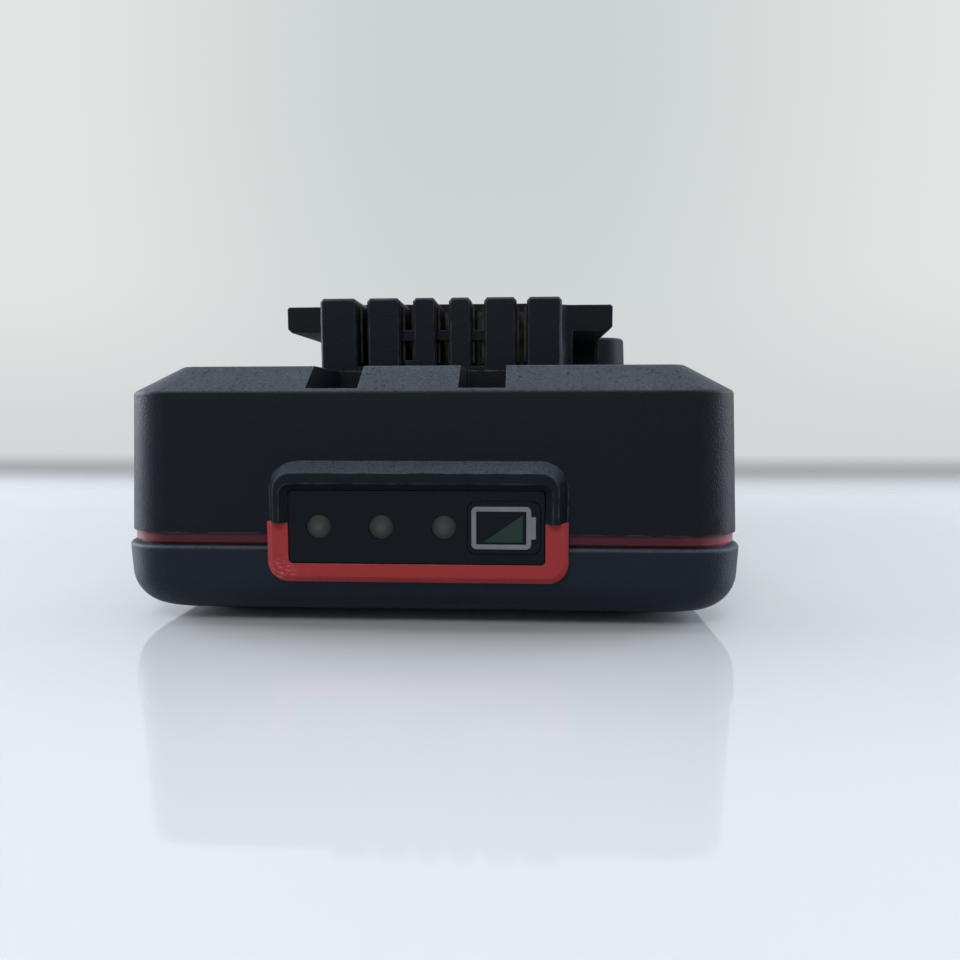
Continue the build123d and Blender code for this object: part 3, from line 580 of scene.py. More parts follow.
@dataclass(frozen=True)
class ScuffedPlastic(GrainedPlastic):
    """Red ABS with pale scrapes at one corner, where the pack is set down, and painted shade in its seam.

    Attributes:
        scuff_at: the middle of the scrapes.
        scuff_reach: how far they reach.
        scrapes: the short slanting scrapes.
        scraped: their colour.
        seam_from: the Y behind which the trim lies in the seam between the shells.
        seam_width: how far the painted shade takes to set in.
        seam_shade_patches: where the painted shade in the seam is deeper.
        painted_seam_shade: the painted shade on the trim in the seam.
        seam_lit_from: the X, on either side, past which the seam takes on painted light.
        seam_lit_width: how far that painted light takes to come in.
        painted_seam_light: the painted light towards the seam's ends.
    """

    scuff_at: Point = (0.0, 0.0, 0.0)
    scuff_reach: float = 2.6 * MM
    scrapes: Blots = Blots(0.22, 0.54, 0.6, 3.0, stretch=(0.25, 1.0, 1.0), slant=0.7)
    scraped: str = "cf7476"
    seam_from: float = -57.95 * MM
    seam_width: float = 0.1 * MM
    seam_shade_patches: Blots = Blots(3.0, 0.0, 0.38, 3.0)
    painted_seam_shade: str = "4a222b"
    seam_lit_from: float = 32.0 * MM
    seam_lit_width: float = 5.0 * MM
    painted_seam_light: str = "8c5056"

    def marks(self, coat: Coat, under: Socket) -> Socket:
        """Painted shade over the seam, painted light at its ends, and scrapes that thin away from the corner.

        Args:
            coat: the material in the making.
            under: the plastic's own colour.

        Returns:
            The marked colour.
        """
        parts = add_node(coat.tree, "ShaderNodeSeparateXYZ", inputs={0: coat.place})
        aside = add_node(coat.tree, "ShaderNodeMath", {"operation": "ABSOLUTE"}, {0: parts.outputs["X"]})
        inside, out = [add_node(coat.tree, "ShaderNodeMapRange", inputs={
            0: value, 1: start, 2: start + width}).outputs[0] for value, start, width in (
                (parts.outputs["Y"], self.seam_from, self.seam_width),
                (aside.outputs[0], self.seam_lit_from, self.seam_lit_width))]
        # Painted shade in the seam, turning to painted light towards both ends.
        painted_seam_shade = layered(coat.tree, linear(self.painted_seam_shade), (out, linear(self.painted_seam_light)))
        seam_shade_amount = product(coat.tree, inside, coat.cloud(self.seam_shade_patches))
        rubbed = product(coat.tree, coat.near(self.scuff_at, 0.0, self.scuff_reach), coat.cloud(self.scrapes))
        return layered(coat.tree, under, (seam_shade_amount, painted_seam_shade), (rubbed, linear(self.scraped)))


@dataclass(frozen=True)
class ChippedPlastic(GrainedPlastic):
    """Black ABS with one ragged gouge at its lower edge.

    Attributes:
        chip_at: the middle of the gouge.
        chip_core: how far it is whole.
        chip_reach: how far it reaches.
        ragged: how its outline wanders.
        painted_gouge_shade: the painted shade in its depth.
    """

    chip_at: Point = (0.0, 0.0, 0.0)
    chip_core: float = 0.35 * MM
    chip_reach: float = 1.0 * MM
    ragged: Blots = Blots(0.5, 0.42, 0.5, 3.0)
    painted_gouge_shade: str = "020304"

    def marks(self, coat: Coat, under: Socket) -> Socket:
        """The gouge's painted shade, on top of the plastic's own colour."""
        gouge = product(coat.tree, coat.near(self.chip_at, self.chip_core, self.chip_reach),
                        coat.cloud(self.ragged))
        return layered(coat.tree, under, (gouge, linear(self.painted_gouge_shade)))


@dataclass(frozen=True)
class SmoothFilm(Finish):
    """A smooth moulded or laminated face: nearly flat, with finger smears and hairline scratches.

    To the eye it is an even satin that goes cloudy where it has been touched.

    Attributes:
        gloss: the roughness of clean patches.
        smeared: the roughness of touched patches.
        shine: the specular level.
        smears: where it has been touched.
        touched_gain: how many times as bright touched patches are.
        hairs: the hairline scratches, drawn wider than real ones, so that they show.
        hair_rough: how much rougher a scratch is.
        hair_depth: how deep it is, as a share of lift_mm.
        peel: the faint waviness of the face.
        lift_mm: how high the waviness is.
        round_mm: the radius of its edges.
    """

    gloss: float = 0.28
    smeared: float = 0.42
    shine: float = 0.5
    smears: Blots = Blots(4.0, 0.4, 0.65, 4.0)
    touched_gain: float = 1.18
    hairs: Blots = Blots(0.5, 0.58, 0.64, 3.0, stretch=(0.05, 1.0, 1.0), slant=0.35)
    hair_rough: float = 0.12
    hair_depth: float = 0.4
    peel: Blots = Blots(0.9, 0.2, 0.8)
    lift_mm: float = 0.004
    round_mm: float = 0.08

    def paint(self, coat: Coat) -> None:
        """Lay on the smears, the scratches and the waviness.

        Args:
            coat: the material in the making.
        """
        smear, hairs = coat.cloud(self.smears), coat.cloud(self.hairs)
        gloss = add_node(coat.tree, "ShaderNodeMapRange", inputs={0: smear, 3: self.gloss, 4: self.smeared})
        rough = add_node(coat.tree, "ShaderNodeMath", {"operation": "MULTIPLY_ADD", "use_clamp": True},
                         {0: hairs, 1: self.hair_rough, 2: gloss.outputs[0]})
        height = add_node(coat.tree, "ShaderNodeMath", {"operation": "MULTIPLY_ADD"},
                          {0: hairs, 1: -self.hair_depth, 2: coat.cloud(self.peel)})
        coat.emboss(height.outputs[0], self.lift_mm, coat.rounded(self.round_mm))
        touched = layered(coat.tree, linear(self.colour), (smear, linear(self.colour, self.touched_gain)))
        coat.give({"Base Color": touched, "Roughness": rough.outputs[0], "Specular IOR Level": self.shine,
                   "IOR": PLASTIC_IOR})


@dataclass(frozen=True)
class FrostedLens(Finish):
    """Frosted polycarbonate light pipe: milky grey, with a painted highlight in its middle and painted
    shade in a thin ring at its rim.

    Attributes:
        painted_lens_highlight: the painted highlight at its middle.
        rim: the painted shade at its edge.
        stops: the shares of the radius where the highlight ends, the plain colour is, and the rim's shade
            begins.
        cloudy: the milky clouds in it.
        cloud_tone: what the colour is multiplied by in a cloud.
        rough: the roughness outside and inside a cloud.
        lift_mm: how high the frosting is.
        shine: the specular level.
    """

    painted_lens_highlight: str = "3e403e"
    rim: str = "101214"
    stops: tuple[float, float, float] = (0.05, 0.62, 0.98)
    cloudy: Blots = Blots(0.6, detail=3.0)
    cloud_tone: Point = (0.86, 0.87, 0.86)
    rough: tuple[float, float] = (0.45, 0.58)
    lift_mm: float = 0.005
    shine: float = 0.3

    def paint(self, coat: Coat) -> None:
        """Lay on the painted highlight and shade rings and the clouds; the UV map holds the radius's share in
        V.

        Args:
            coat: the material in the making.
        """
        across = add_node(coat.tree, "ShaderNodeUVMap", {"uv_map": RADIUS_MAP})
        radial = add_node(coat.tree, "ShaderNodeSeparateXYZ", inputs={0: across.outputs["UV"]})
        # Painted highlight in the middle of the lens, painted shade at its rim.
        fade = add_node(coat.tree, "ShaderNodeValToRGB", inputs={0: radial.outputs["Y"]})
        ramp = fade.color_ramp.elements
        ramp[0].position, ramp[0].color = self.stops[0], linear(self.painted_lens_highlight)
        ramp[1].position, ramp[1].color = self.stops[2], linear(self.rim)
        ramp.new(self.stops[1]).color = linear(self.colour)
        cloudy = coat.cloud(self.cloudy)
        coat.stain(cloudy, fade.outputs["Color"], self.cloud_tone)
        coat.roughen(cloudy, self.rough)
        coat.emboss(cloudy, self.lift_mm)
        coat.give({"Specular IOR Level": self.shine})


@dataclass(frozen=True)
class RolledMetal(Finish):
    """Rolled or plated sheet: fine lines along the roll, and a dull bloom in patches.

    Attributes:
        bloom: the tarnish colour.
        line_mm: the spacing of the rolling lines, drawn wider than real ones, so that they show.
        line_tone: what the colour is multiplied by in a line.
        bright: the roughness of clean metal.
        dull: the roughness of tarnished metal.
        grain_along: the scale along X, Y and Z, small where lines run.
        blooms: where it has tarnished.
        lift_mm: how high the lines are.
    """

    bloom: str
    line_mm: float = 0.12
    line_tone: Point = (0.82, 0.82, 0.82)
    bright: float = 0.24
    dull: float = 0.5
    grain_along: Point = (1.0, 0.06, 1.0)
    blooms: Blots = Blots(1.6, 0.42, 0.66, 4.0)
    lift_mm: float = 0.003

    def paint(self, coat: Coat) -> None:
        """Lay on the lines and the bloom.

        Args:
            coat: the material in the making.
        """
        lines = coat.cloud(Blots(self.line_mm, stretch=self.grain_along))
        bloom = coat.cloud(self.blooms)
        tint = layered(coat.tree, linear(self.colour), (bloom, linear(self.bloom)))
        coat.stain(lines, tint, self.line_tone)
        coat.roughen(bloom, (self.bright, self.dull))
        coat.emboss(lines, self.lift_mm)
        coat.give({"Metallic": 1.0})


@dataclass(frozen=True)
class SolderMask(Finish):
    """Green solder mask over copper on glass board: the copper shows as a paler raised net.

    Attributes:
        track: the colour over copper.
        net_mm: the width of one mesh of the net.
        track_edge: the distances from a track's middle, in meshes, between which it falls off.
        weave: the glass weave under the mask.
        weave_tone: what the colour is multiplied by in the weave.
        rough: the roughness between and on the threads.
        lift_mm: how far a track stands up.
    """

    track: str = "1c7a48"
    net_mm: float = 4.2
    track_edge: tuple[float, float] = (0.05, 0.08)
    weave: Blots = Blots(0.3)
    weave_tone: Point = (0.85, 0.85, 0.85)
    rough: tuple[float, float] = (0.28, 0.4)
    lift_mm: float = 0.035

    def paint(self, coat: Coat) -> None:
        """Lay on the tracks and the weave.

        Args:
            coat: the material in the making.
        """
        net = add_node(coat.tree, "ShaderNodeTexVoronoi", {"feature": "DISTANCE_TO_EDGE"},
                       {"Vector": coat.place, "Scale": 1 / (self.net_mm * MM)})
        top, foot = self.track_edge
        routes = add_node(coat.tree, "ShaderNodeMapRange", inputs={
            0: net.outputs["Distance"], 1: top, 2: foot, 3: 1.0, 4: 0.0}).outputs[0]
        weave = coat.cloud(self.weave)
        tint = layered(coat.tree, linear(self.colour), (routes, linear(self.track)))
        coat.stain(weave, tint, self.weave_tone)
        coat.emboss(routes, self.lift_mm)
        coat.roughen(weave, self.rough)


@dataclass(frozen=True)
class FibreSheet(Finish):
    """Pressed paper or foam: a soft matt surface of short fibres or small bubbles.

    Attributes:
        shade: the colour of the hollows.
        fibre_mm: the width of a fibre or bubble, drawn coarser than a real one, so that it shows.
        lift_mm: how far the surface undulates.
        detail: how many finer layers the fibres have.
        rough: the roughness in the hollows and on the fibres.
    """

    shade: str
    fibre_mm: float = 0.4
    lift_mm: float = 0.05
    detail: float = 6.0
    rough: tuple[float, float] = (0.95, 0.82)

    def paint(self, coat: Coat) -> None:
        """Lay on the fibres.

        Args:
            coat: the material in the making.
        """
        fibres = coat.cloud(Blots(self.fibre_mm, detail=self.detail))
        coat.give({"Base Color": layered(coat.tree, linear(self.shade), (fibres, linear(self.colour)))})
        coat.emboss(fibres, self.lift_mm)
        coat.roughen(fibres, self.rough)


class SubAssembly:
    """Pieces that are made and dressed together."""

    def build(self) -> None:
        """Make the new pieces; some sub-assemblies have none."""

    def finishes(self) -> dict[Finish, list[str]]:
        """Which of the frame's nodes get which finish."""
        return {}

    def dress(self) -> None:
        """Put the finishes on the frame's nodes."""
        for finish, nodes in self.finishes().items():
            dress(nodes, finish.make())


# The case


@dataclass
class CaseShells(SubAssembly):
    """The two case halves and the red trim between them."""

    upper: ChippedPlastic = ChippedPlastic("black_abs_spark_grain", "black_abs", "0c1118",
                                           chip_at=(34.68 * MM, -56.69 * MM, 12.95 * MM))
    # Painted light: a lighter, bluer copy of the black ABS for the light the table throws back onto it.
    lower: GrainedPlastic = GrainedPlastic("black_abs_lower_lit_copy", "black_abs", "121924", shine=0.14)
    trim: ScuffedPlastic = ScuffedPlastic("red_abs_fine_grain", "red_abs", "8a2e2f", wear_and_highlight="c96c70",
                                          dust_and_sheen_colour="a98a8c", grain_mm=0.2, lift_mm=0.007, dull=0.48,
                                          rubbed=0.38, round_mm=0.15, edge_lightening=0.45, dust_and_sheen=0.18,
                                          scuff_at=(-17.2 * MM, -59.2 * MM, 6.9 * MM))

    def finishes(self) -> dict[Finish, list[str]]:
        """Which of the frame's nodes get which finish."""
        return {self.upper: ["upper_case"], self.lower: ["lower_case"], self.trim: ["trim_ring"]}


# The gauge


@dataclass(frozen=True)
class PressPad:
    """The press pad: flat under its pictogram, with a rolled rim, a flange and a stem behind.

    Attributes:
        corner: the radius of its corners.
        rim: how wide the rolled rim is, and how deep it falls.
        rim_steps: how many lines the rim is drawn with.
        flat_lines: where lines run on the flat face, as shares of its width.
        flange_at: how far behind the face the panel ends and the flange begins.
        flange_margin: how far the flange stands out round the face.
        flange_depth: how thick it is.
        stem_radius: the radius of the stem.
        sides: how many columns go round.
    """

    corner: float = 1.1 * MM
    rim: tuple[float, float] = (0.08 * MM, 0.03 * MM)
    rim_steps: int = 9
    flat_lines: tuple[float, ...] = (0.0, 0.35, 0.7, 0.95)
    flange_at: float = 4.75 * MM
    flange_margin: float = 0.6 * MM
    flange_depth: float = 1.0 * MM
    stem_radius: float = 1.2 * MM
    sides: int = 96

    def ring(self, half_width: float, half_height: float, corner: float, depth: float) -> np.ndarray:
        """One closed line round a rounded oblong, seen from the front.

        A point at the angle t is the corner's middle, which is (half_width - corner) sign(cos t) and
        (half_height - corner) sign(sin t), plus corner (cos t, sin t).

        Args:
            half_width: half of the oblong's width.
            half_height: half of its height.
            corner: the radius of its corners.
            depth: how far behind the face it lies.

        Returns:
            Points of shape (sides, 3), from the middle of the face.
        """
        t = (np.arange(self.sides) + 0.5) * 2 * np.pi / self.sides
        x = (half_width - corner) * np.sign(np.cos(t)) + corner * np.cos(t)
        z = (half_height - corner) * np.sign(np.sin(t)) + corner * np.sin(t)
        return np.stack([x, np.full_like(x, depth), z], axis=-1)

    def surface(self, low: np.ndarray, high: np.ndarray) -> Surface:
        """The whole pad.

        The rim falls along a quarter of an ellipse: at the share s it is inset by width (1 - sin a) and
        lies at depth (1 - cos a), where a = s pi / 2.

        Args:
            low: the lowest corner of the node's box.
            high: its highest corner.

        Returns:
            The closed surface.
        """
        half_width, length, half_height = (high - low) * (0.5, 1.0, 0.5)
        half_width, half_height = half_width - self.flange_margin, half_height - self.flange_margin
        width, fall = self.rim
        sizes = [((half_width - width) * s, (half_height - width) * s, (self.corner - width) * s, 0.0)
                 for s in self.flat_lines]
        for angle in np.linspace(0, np.pi / 2, self.rim_steps):
            inset = width * (1 - math.sin(angle))
            sizes.append((half_width - inset, half_height - inset, self.corner - inset,
                          fall * (1 - math.cos(angle))))
        flange_end = self.flange_at + self.flange_depth
        for out, depth in ((0.0, self.flange_at), (self.flange_margin, self.flange_at),
                           (self.flange_margin, flange_end)):
            sizes.append((half_width + out, half_height + out, self.corner, depth))
        for radius, depth in ((self.stem_radius, flange_end), (self.stem_radius, length), (0.0, length)):
            sizes.append((radius, radius, radius, depth))
        middle = np.array([(low[0] + high[0]) / 2, low[1], (low[2] + high[2]) / 2])
        return Surface(np.stack([self.ring(*size) for size in sizes]) + middle)


@dataclass
class ChargeGauge(SubAssembly):
    """The panel, its lenses, the press pad with the pictogram and the board behind them.

    Attributes:
        lens_radius: the radius of a lens's face.
        proud: how far a lens stands out of the panel.
        dome: how far its face falls from the middle to the rim.
        dome_steps: how many lines the dome is drawn with.
        collar_radius: the radius of the collar behind the panel.
        collar_depth: how thick the collar is.
        pipe_radius: the radius of the light pipe.
        sides: how many columns go round a lens.
    """

    lens_radius: float = 1.45 * MM
    proud: float = 0.15 * MM
    dome: float = 0.24 * MM
    dome_steps: int = 14
    collar_radius: float = 1.9 * MM
    collar_depth: float = 0.8 * MM
    pipe_radius: float = 1.2 * MM
    sides: int = 64
    pad: PressPad = PressPad()
    panel: SmoothFilm = SmoothFilm("black_gauge_panel_satin", "panel_film", "070c14", gloss=0.42,
                                   smeared=0.54, shine=0.12)
    white_ink: SmoothFilm = SmoothFilm("pad_printed_white_ink", "icon_white", "64676b", gloss=0.5,
                                       smeared=0.6)
    green_ink: SmoothFilm = SmoothFilm("pad_printed_green_ink", "icon_green", "0a2822", gloss=0.45,
                                       smeared=0.6, shine=0.3)
    lens: FrostedLens = FrostedLens("frosted_polycarbonate", "lens_clear", "272928")
    board: SolderMask = SolderMask("green_solder_mask", "board_green", "12532f")
    lamp: SmoothFilm = SmoothFilm("milky_lamp_resin", "lamp_white", "e6e4d8", gloss=0.15, smeared=0.25)
    epoxy: GrainedPlastic = GrainedPlastic("moulded_epoxy", "chip_black", "1b1c1e", grain_mm=0.12,
                                           lift_mm=0.006, dust_and_sheen=0.0, round_mm=0.1)
    plunger: SmoothFilm = SmoothFilm("white_nylon", "ring_white", "dedcd2", gloss=0.4, smeared=0.5)
    ribbon: SmoothFilm = SmoothFilm("polyester_ribbon_film", "ribbon_film", "b9b5a6", gloss=0.3, smeared=0.4)

    def lens_profile(self, depth: float) -> np.ndarray:
        """The half section of a lens.

        The face is a shallow dome, radius r and depth dome (r / R)^2; behind it come the barrel, the
        collar and the pipe.

        Args:
            depth: how far back the pipe reaches from the dome's top.

        Returns:
            Rows of (radius, depth).
        """
        r = np.linspace(0.0, 1.0, self.dome_steps)
        face = np.stack([self.lens_radius * r, self.dome * r ** 2], axis=1)
        start = self.proud + self.pad.flange_at
        end = start + self.collar_depth
        back = np.array([[self.lens_radius, start], [self.collar_radius, start], [self.collar_radius, end],
                         [self.pipe_radius, end], [self.pipe_radius, depth], [0.0, depth]])
        return np.concatenate([face, back])

    def map_radius(self, piece: bpy.types.Object, centre: Point) -> None:
        """Give a lens a UV map with the angle in U and the share of the face's radius in V.

        Args:
            piece: the lens.
            centre: the middle of its face.
        """
        mesh = piece.data
        places = np.zeros(len(mesh.vertices) * 3)
        mesh.vertices.foreach_get("co", places)
        places = places.reshape(-1, 3) - np.array(centre)
        points = np.zeros(len(mesh.loops), int)
        mesh.loops.foreach_get("vertex_index", points)
        radius = np.hypot(places[:, 0], places[:, 2]) / self.lens_radius
        angle = np.arctan2(places[:, 2], places[:, 0]) / (2 * np.pi) + 0.5
        mapped = np.stack([angle[points], np.clip(radius[points], 0, 1)], axis=1)
        mesh.uv_layers.new(name=RADIUS_MAP).data.foreach_set("uv", mapped.ravel())

    def build(self) -> None:
        """Make the three lenses, and the press pad in the panel's own film."""
        frosted = self.lens.make()
        for number in (1, 2, 3):
            node = f"gauge_lens_{number}"
            low, high = corners(node)
            centre = ((low[0] + high[0]) / 2, low[1], (low[2] + high[2]) / 2)
            profile = self.lens_profile(high[1] - low[1])
            piece = mesh_piece(f"lens_{number}", [turned(profile, centre, Facing.FRONT, self.sides)])
            self.map_radius(piece, centre)
            finish_piece(piece, Rides.PACK, frosted, node)
        film = self.panel.make()
        piece = mesh_piece("press_pad", [self.pad.surface(*corners("gauge_button"))])
        finish_piece(piece, Rides.BUTTON, film, "gauge_button")
        dress(["gauge_panel"], film)

    def finishes(self) -> dict[Finish, list[str]]:
        """Which of the frame's other nodes get which finish."""
        return {self.white_ink: ["icon_outline"], self.green_ink: ["icon_wedge"],
                self.board: ["gauge_board"], self.lamp: ["gauge_leds"], self.epoxy: ["gauge_switch"],
                self.plunger: ["switch_plunger"], self.ribbon: ["gauge_ribbon"]}


# The contacts


@dataclass
class TerminalComb(SubAssembly):
    """The five spring contacts in the comb's slots."""

    contact: RolledMetal = RolledMetal("dull_brass_strip", "contact_brass", "41403c", bloom="302f2c",
                                       bright=0.45, dull=0.62)

    def finishes(self) -> dict[Finish, list[str]]:
        """Which of the frame's nodes get which finish."""
        return {self.contact: [f"terminal_{number}" for number in range(1, 6)]}


# The screws


@dataclass(frozen=True)
class PanScrew:
    """A pan-head screw with a six-lobe socket and a rolled thread.

    Attributes:
        head_radius: the head's radius.
        head_height: its height.
        socket_radius: the socket's radius between its lobes.
        socket_depth: how deep it is.
        thread_radius: the thread's outer radius.
        pitch: the rise of one turn.
        socket_lip: the radius of the socket's lip, as a share of the socket's.
        socket_bevel: how deep that lip's bevel goes, as a share of the socket's depth.
        lobe: how far a lobe stands out, as a share of the socket's radius.
        crown: how far the head falls to its edge, as a share of its height.
        crown_steps: how many lines the crown is drawn with.
        core_share: the shank's radius under the thread, as a share of the thread's.
        tip_share: the radius of the blunt point, as a share of the shank's.
        rows_per_turn: how many lines one turn of the thread is drawn with.
        sides: how many columns go round.
    """

    head_radius: float
    head_height: float
    socket_radius: float
    socket_depth: float
    thread_radius: float
    pitch: float
    socket_lip: float = 1.16
    socket_bevel: float = 0.1
    lobe: float = 0.14
    crown: float = 0.3
    crown_steps: int = 9
    core_share: float = 0.8
    tip_share: float = 0.5
    rows_per_turn: int = 12
    sides: int = 48

    def head(self, centre: Point, facing: Facing) -> Surface:
        """The head, from the middle of its socket out and round to the shank.

        The crown falls from the socket's lip as crown height (share of the way out)^2.

        Args:
            centre: the middle of its face.
            facing: the way it looks.

        Returns:
            The surface.
        """
        out = np.linspace(0.0, 1.0, self.crown_steps + 1)[1:]
        lip = self.socket_radius * self.socket_lip
        socket = [[0.0, self.socket_depth], [self.socket_radius, self.socket_depth],
                  [self.socket_radius, self.socket_bevel * self.socket_depth], [lip, 0.0]]
        fall = self.crown * self.head_height
        crown = np.stack([lip + (self.head_radius - lip) * out, fall * out ** 2], axis=1)
        under = [[self.head_radius, self.head_height],
                 [self.thread_radius * self.core_share, self.head_height]]
        profile = np.concatenate([socket, crown, under])
        lobes = np.zeros(len(profile))
        lobes[1:3] = self.lobe  # the socket's floor and wall
        return turned(profile, centre, facing, self.sides, lobes)

    def thread(self, centre: Point, facing: Facing, length: float) -> Surface:
        """The threaded shank, with a blunt point.

        At the depth d and the angle t the radius is core + rise (1 - |2 f - 1|)^2, where f is the
        fraction of d / pitch - t / (2 pi), faded out at both ends.

        Args:
            centre: the middle of the head's face.
            facing: the way the head looks.
            length: the screw's length with its head.

        Returns:
            The surface.
        """
        rows = int(self.rows_per_turn * (length - self.head_height) / self.pitch)
        d = np.linspace(self.head_height, length - self.thread_radius, rows)[:, None]
        t = np.linspace(0, 2 * np.pi, self.sides, endpoint=False)[None, :]
        f = np.mod(d / self.pitch - t / (2 * np.pi), 1.0)
        core = self.thread_radius * self.core_share
        fade = np.clip(np.minimum(d - d[0], d[-1] - d) / self.pitch, 0.0, 1.0)
        radius = core + fade * (self.thread_radius - core) * (1 - np.abs(2 * f - 1)) ** 2
        along, first, second = facing.axes()
        turn = np.cos(t)[..., None] * first + np.sin(t)[..., None] * second
        wall = np.array(centre) + d[..., None] * along + radius[..., None] * turn
        tip = np.array([[core, length - self.thread_radius], [core * self.tip_share, length], [0.0, length]])
        return Surface(np.concatenate([wall, turned(tip, centre, facing, self.sides).points[1:]]))

    def build(self, name: str, node: str, facing: Facing, plating: Finish) -> None:
        """Put four screws at the corners of a node's box, as one piece.

        Args:
            name: the piece's name.
            node: the node that they stand for.
            facing: the way their heads look.
            plating: their finish.
        """
        low, high = corners(node)
        face = low[2] if facing is Facing.DOWN else high[2]
        surfaces = []
        for x in (low[0] + self.head_radius, high[0] - self.head_radius):
            for y in (low[1] + self.head_radius, high[1] - self.head_radius):
                surfaces.append(self.head((x, y, face), facing))
                surfaces.append(self.thread((x, y, face), facing, high[2] - low[2]))
        finish_piece(mesh_piece(name, surfaces), Rides.PACK, plating.make(), node)


@dataclass
class Fasteners(SubAssembly):
    """The four screws that close the case, and the four that hold the main board."""

    black_zinc: RolledMetal = RolledMetal("black_zinc_plating", "steel", "5c5e62", bloom="3d3e41",
                                          grain_along=UNSTRETCHED)
    zinc: RolledMetal = RolledMetal("zinc_plated_steel", "steel", "8d8f93", bloom="66686c",
                                    grain_along=UNSTRETCHED)
    case_screw: PanScrew = PanScrew(head_radius=2.2 * MM, head_height=2.0 * MM, socket_radius=0.95 * MM,
                                    socket_depth=1.2 * MM, thread_radius=1.25 * MM, pitch=1.5 * MM)
    board_screw: PanScrew = PanScrew(head_radius=1.7 * MM, head_height=1.1 * MM, socket_radius=0.75 * MM,
                                     socket_depth=0.7 * MM, thread_radius=0.9 * MM, pitch=0.8 * MM)

    def build(self) -> None:
        """Make the screws."""
        self.case_screw.build("case_screw_set", "case_screws", Facing.DOWN, self.black_zinc)
        self.board_screw.build("board_screw_set", "board_screws", Facing.UP, self.zinc)


# The cells


@dataclass
class CellStack(SubAssembly):
    """The cells in their sleeves, with the carrier, links, papers and foam block.

    Attributes:
        radius: a cell's radius over its sleeve.
        sleeve_wall: the thickness of the sleeve.
        button_radius: the radius of the plus button.
        button_flat: the share of that radius that is flat.
        button_edge: how deep its rounded edge goes.
        ring_radius: the outer radius of the insulating ring's seat.
        seat_depth: how deep that seat is.
        sleeve_lip: how wide the seat's rim is that the sleeve leaves bare.
        shoulder: the radius of the can's rounded ends.
        shoulder_steps: how many lines a rounded end is drawn with.
        crimp_at: how far the crimp groove is from the plus end.
        crimp_width: how wide the groove is.
        crimp_depth: how deep it is.
        crimp_steps: how many lines it is drawn with.
        sides: how many columns go round.
        foam_round: the radius of the foam block's edges.
        foam_grid: how many lines the foam block is drawn with, up and round.
    """

    radius: float = 9.2 * MM
    sleeve_wall: float = 0.1 * MM
    button_radius: float = 3.6 * MM
    button_flat: float = 0.9
    button_edge: float = 0.2 * MM
    ring_radius: float = 7.6 * MM
    seat_depth: float = 0.6 * MM
    sleeve_lip: float = 0.2 * MM
    shoulder: float = 0.5 * MM
    shoulder_steps: int = 6
    crimp_at: float = 3.6 * MM
    crimp_width: float = 1.8 * MM
    crimp_depth: float = 0.35 * MM
    crimp_steps: int = 11
    sides: int = 72
    foam_round: float = 1.2 * MM
    foam_grid: tuple[int, int] = (49, 96)
    sleeve: SmoothFilm = SmoothFilm("shrink_sleeve_blue_grey", "cell_can", "5f8193", gloss=0.22, smeared=0.34)
    can: RolledMetal = RolledMetal("nickel_plated_can", "nickel", "b3b1aa", bloom="85827a",
                                   grain_along=(0.2, 1.0, 1.0))
    ring: FibreSheet = FibreSheet("white_fishpaper_ring", "ring_white", "e4e3dc", shade="c9c7bd")
    carrier: GrainedPlastic = GrainedPlastic("smooth_black_carrier", "carrier_abs", "2a2b2d", lift_mm=0.004,
                                             dust_and_sheen=0.0)
    nickel: RolledMetal = RolledMetal("nickel_strip", "nickel", "b8b3a8", bloom="7d786d",
                                      grain_along=(1.0, 1.0, 0.06))
    paper: FibreSheet = FibreSheet("barley_paper", "paper_grey", "b9bdaa", shade="989c8c")
    foam: FibreSheet = FibreSheet("closed_cell_foam", "foam", "3a3b3e", shade="1f2022", fibre_mm=0.8,
                                  lift_mm=0.2)

    def barrel(self, radius: float, length: float) -> np.ndarray:
        """The side of a can or sleeve, from shoulder to shoulder, with the crimp groove.

        The groove is radius - depth cos^2(pi w) across its width, with w from -0.5 to 0.5; each shoulder
        is a quarter circle.

        Args:
            radius: the outer radius.
            length: the cell's length.

        Returns:
            Rows of (radius, depth).
        """
        quarter = np.linspace(0, np.pi / 2, self.shoulder_steps)
        front = np.stack([radius - self.shoulder * (1 - np.sin(quarter)),
                          self.shoulder * (1 - np.cos(quarter))], axis=1)
        w = np.linspace(-0.5, 0.5, self.crimp_steps)
        groove = np.stack([radius - self.crimp_depth * np.cos(np.pi * w) ** 2,
                           self.crimp_at + self.crimp_width * w], axis=1)
        back = np.stack([front[::-1, 0], length - front[::-1, 1]], axis=1)
        return np.concatenate([front, groove, back])

    def build_cells(self) -> None:
        """Make each cell's can and its sleeve; every other cell is turned round."""
        metal, film = self.can.make(), self.sleeve.make()
        for number in range(1, 6):
            node = f"cell_{number}"
            low, high = corners(node)
            length = high[0] - low[0]
            facing, end = (Facing.RIGHT, high[0]) if number % 2 else (Facing.LEFT, low[0])
            centre = (end, (low[1] + high[1]) / 2, (low[2] + high[2]) / 2)
            side = self.barrel(self.radius - self.sleeve_wall, length)
            seat = [[0.0, 0.0], [self.button_radius * self.button_flat, 0.0],
                    [self.button_radius, self.button_edge], [self.button_radius, self.seat_depth],
                    [self.ring_radius, self.seat_depth], [self.ring_radius, 0.0]]
            can = np.concatenate([seat, side, [[0.0, length]]])
            lip = [[self.ring_radius + self.sleeve_lip, 0.0]]
            tube = np.concatenate([lip, self.barrel(self.radius, length), [[self.ring_radius, length]],
                                   side[::-1], lip])
            for kind, profile, material, slot in (("can", can, metal, self.can.slot),
                                                  ("sleeve", tube, film, self.sleeve.slot)):
                piece = mesh_piece(f"{kind}_{number}", [turned(profile, centre, facing, self.sides)])
                finish_piece(piece, Rides.PACK, material, node)

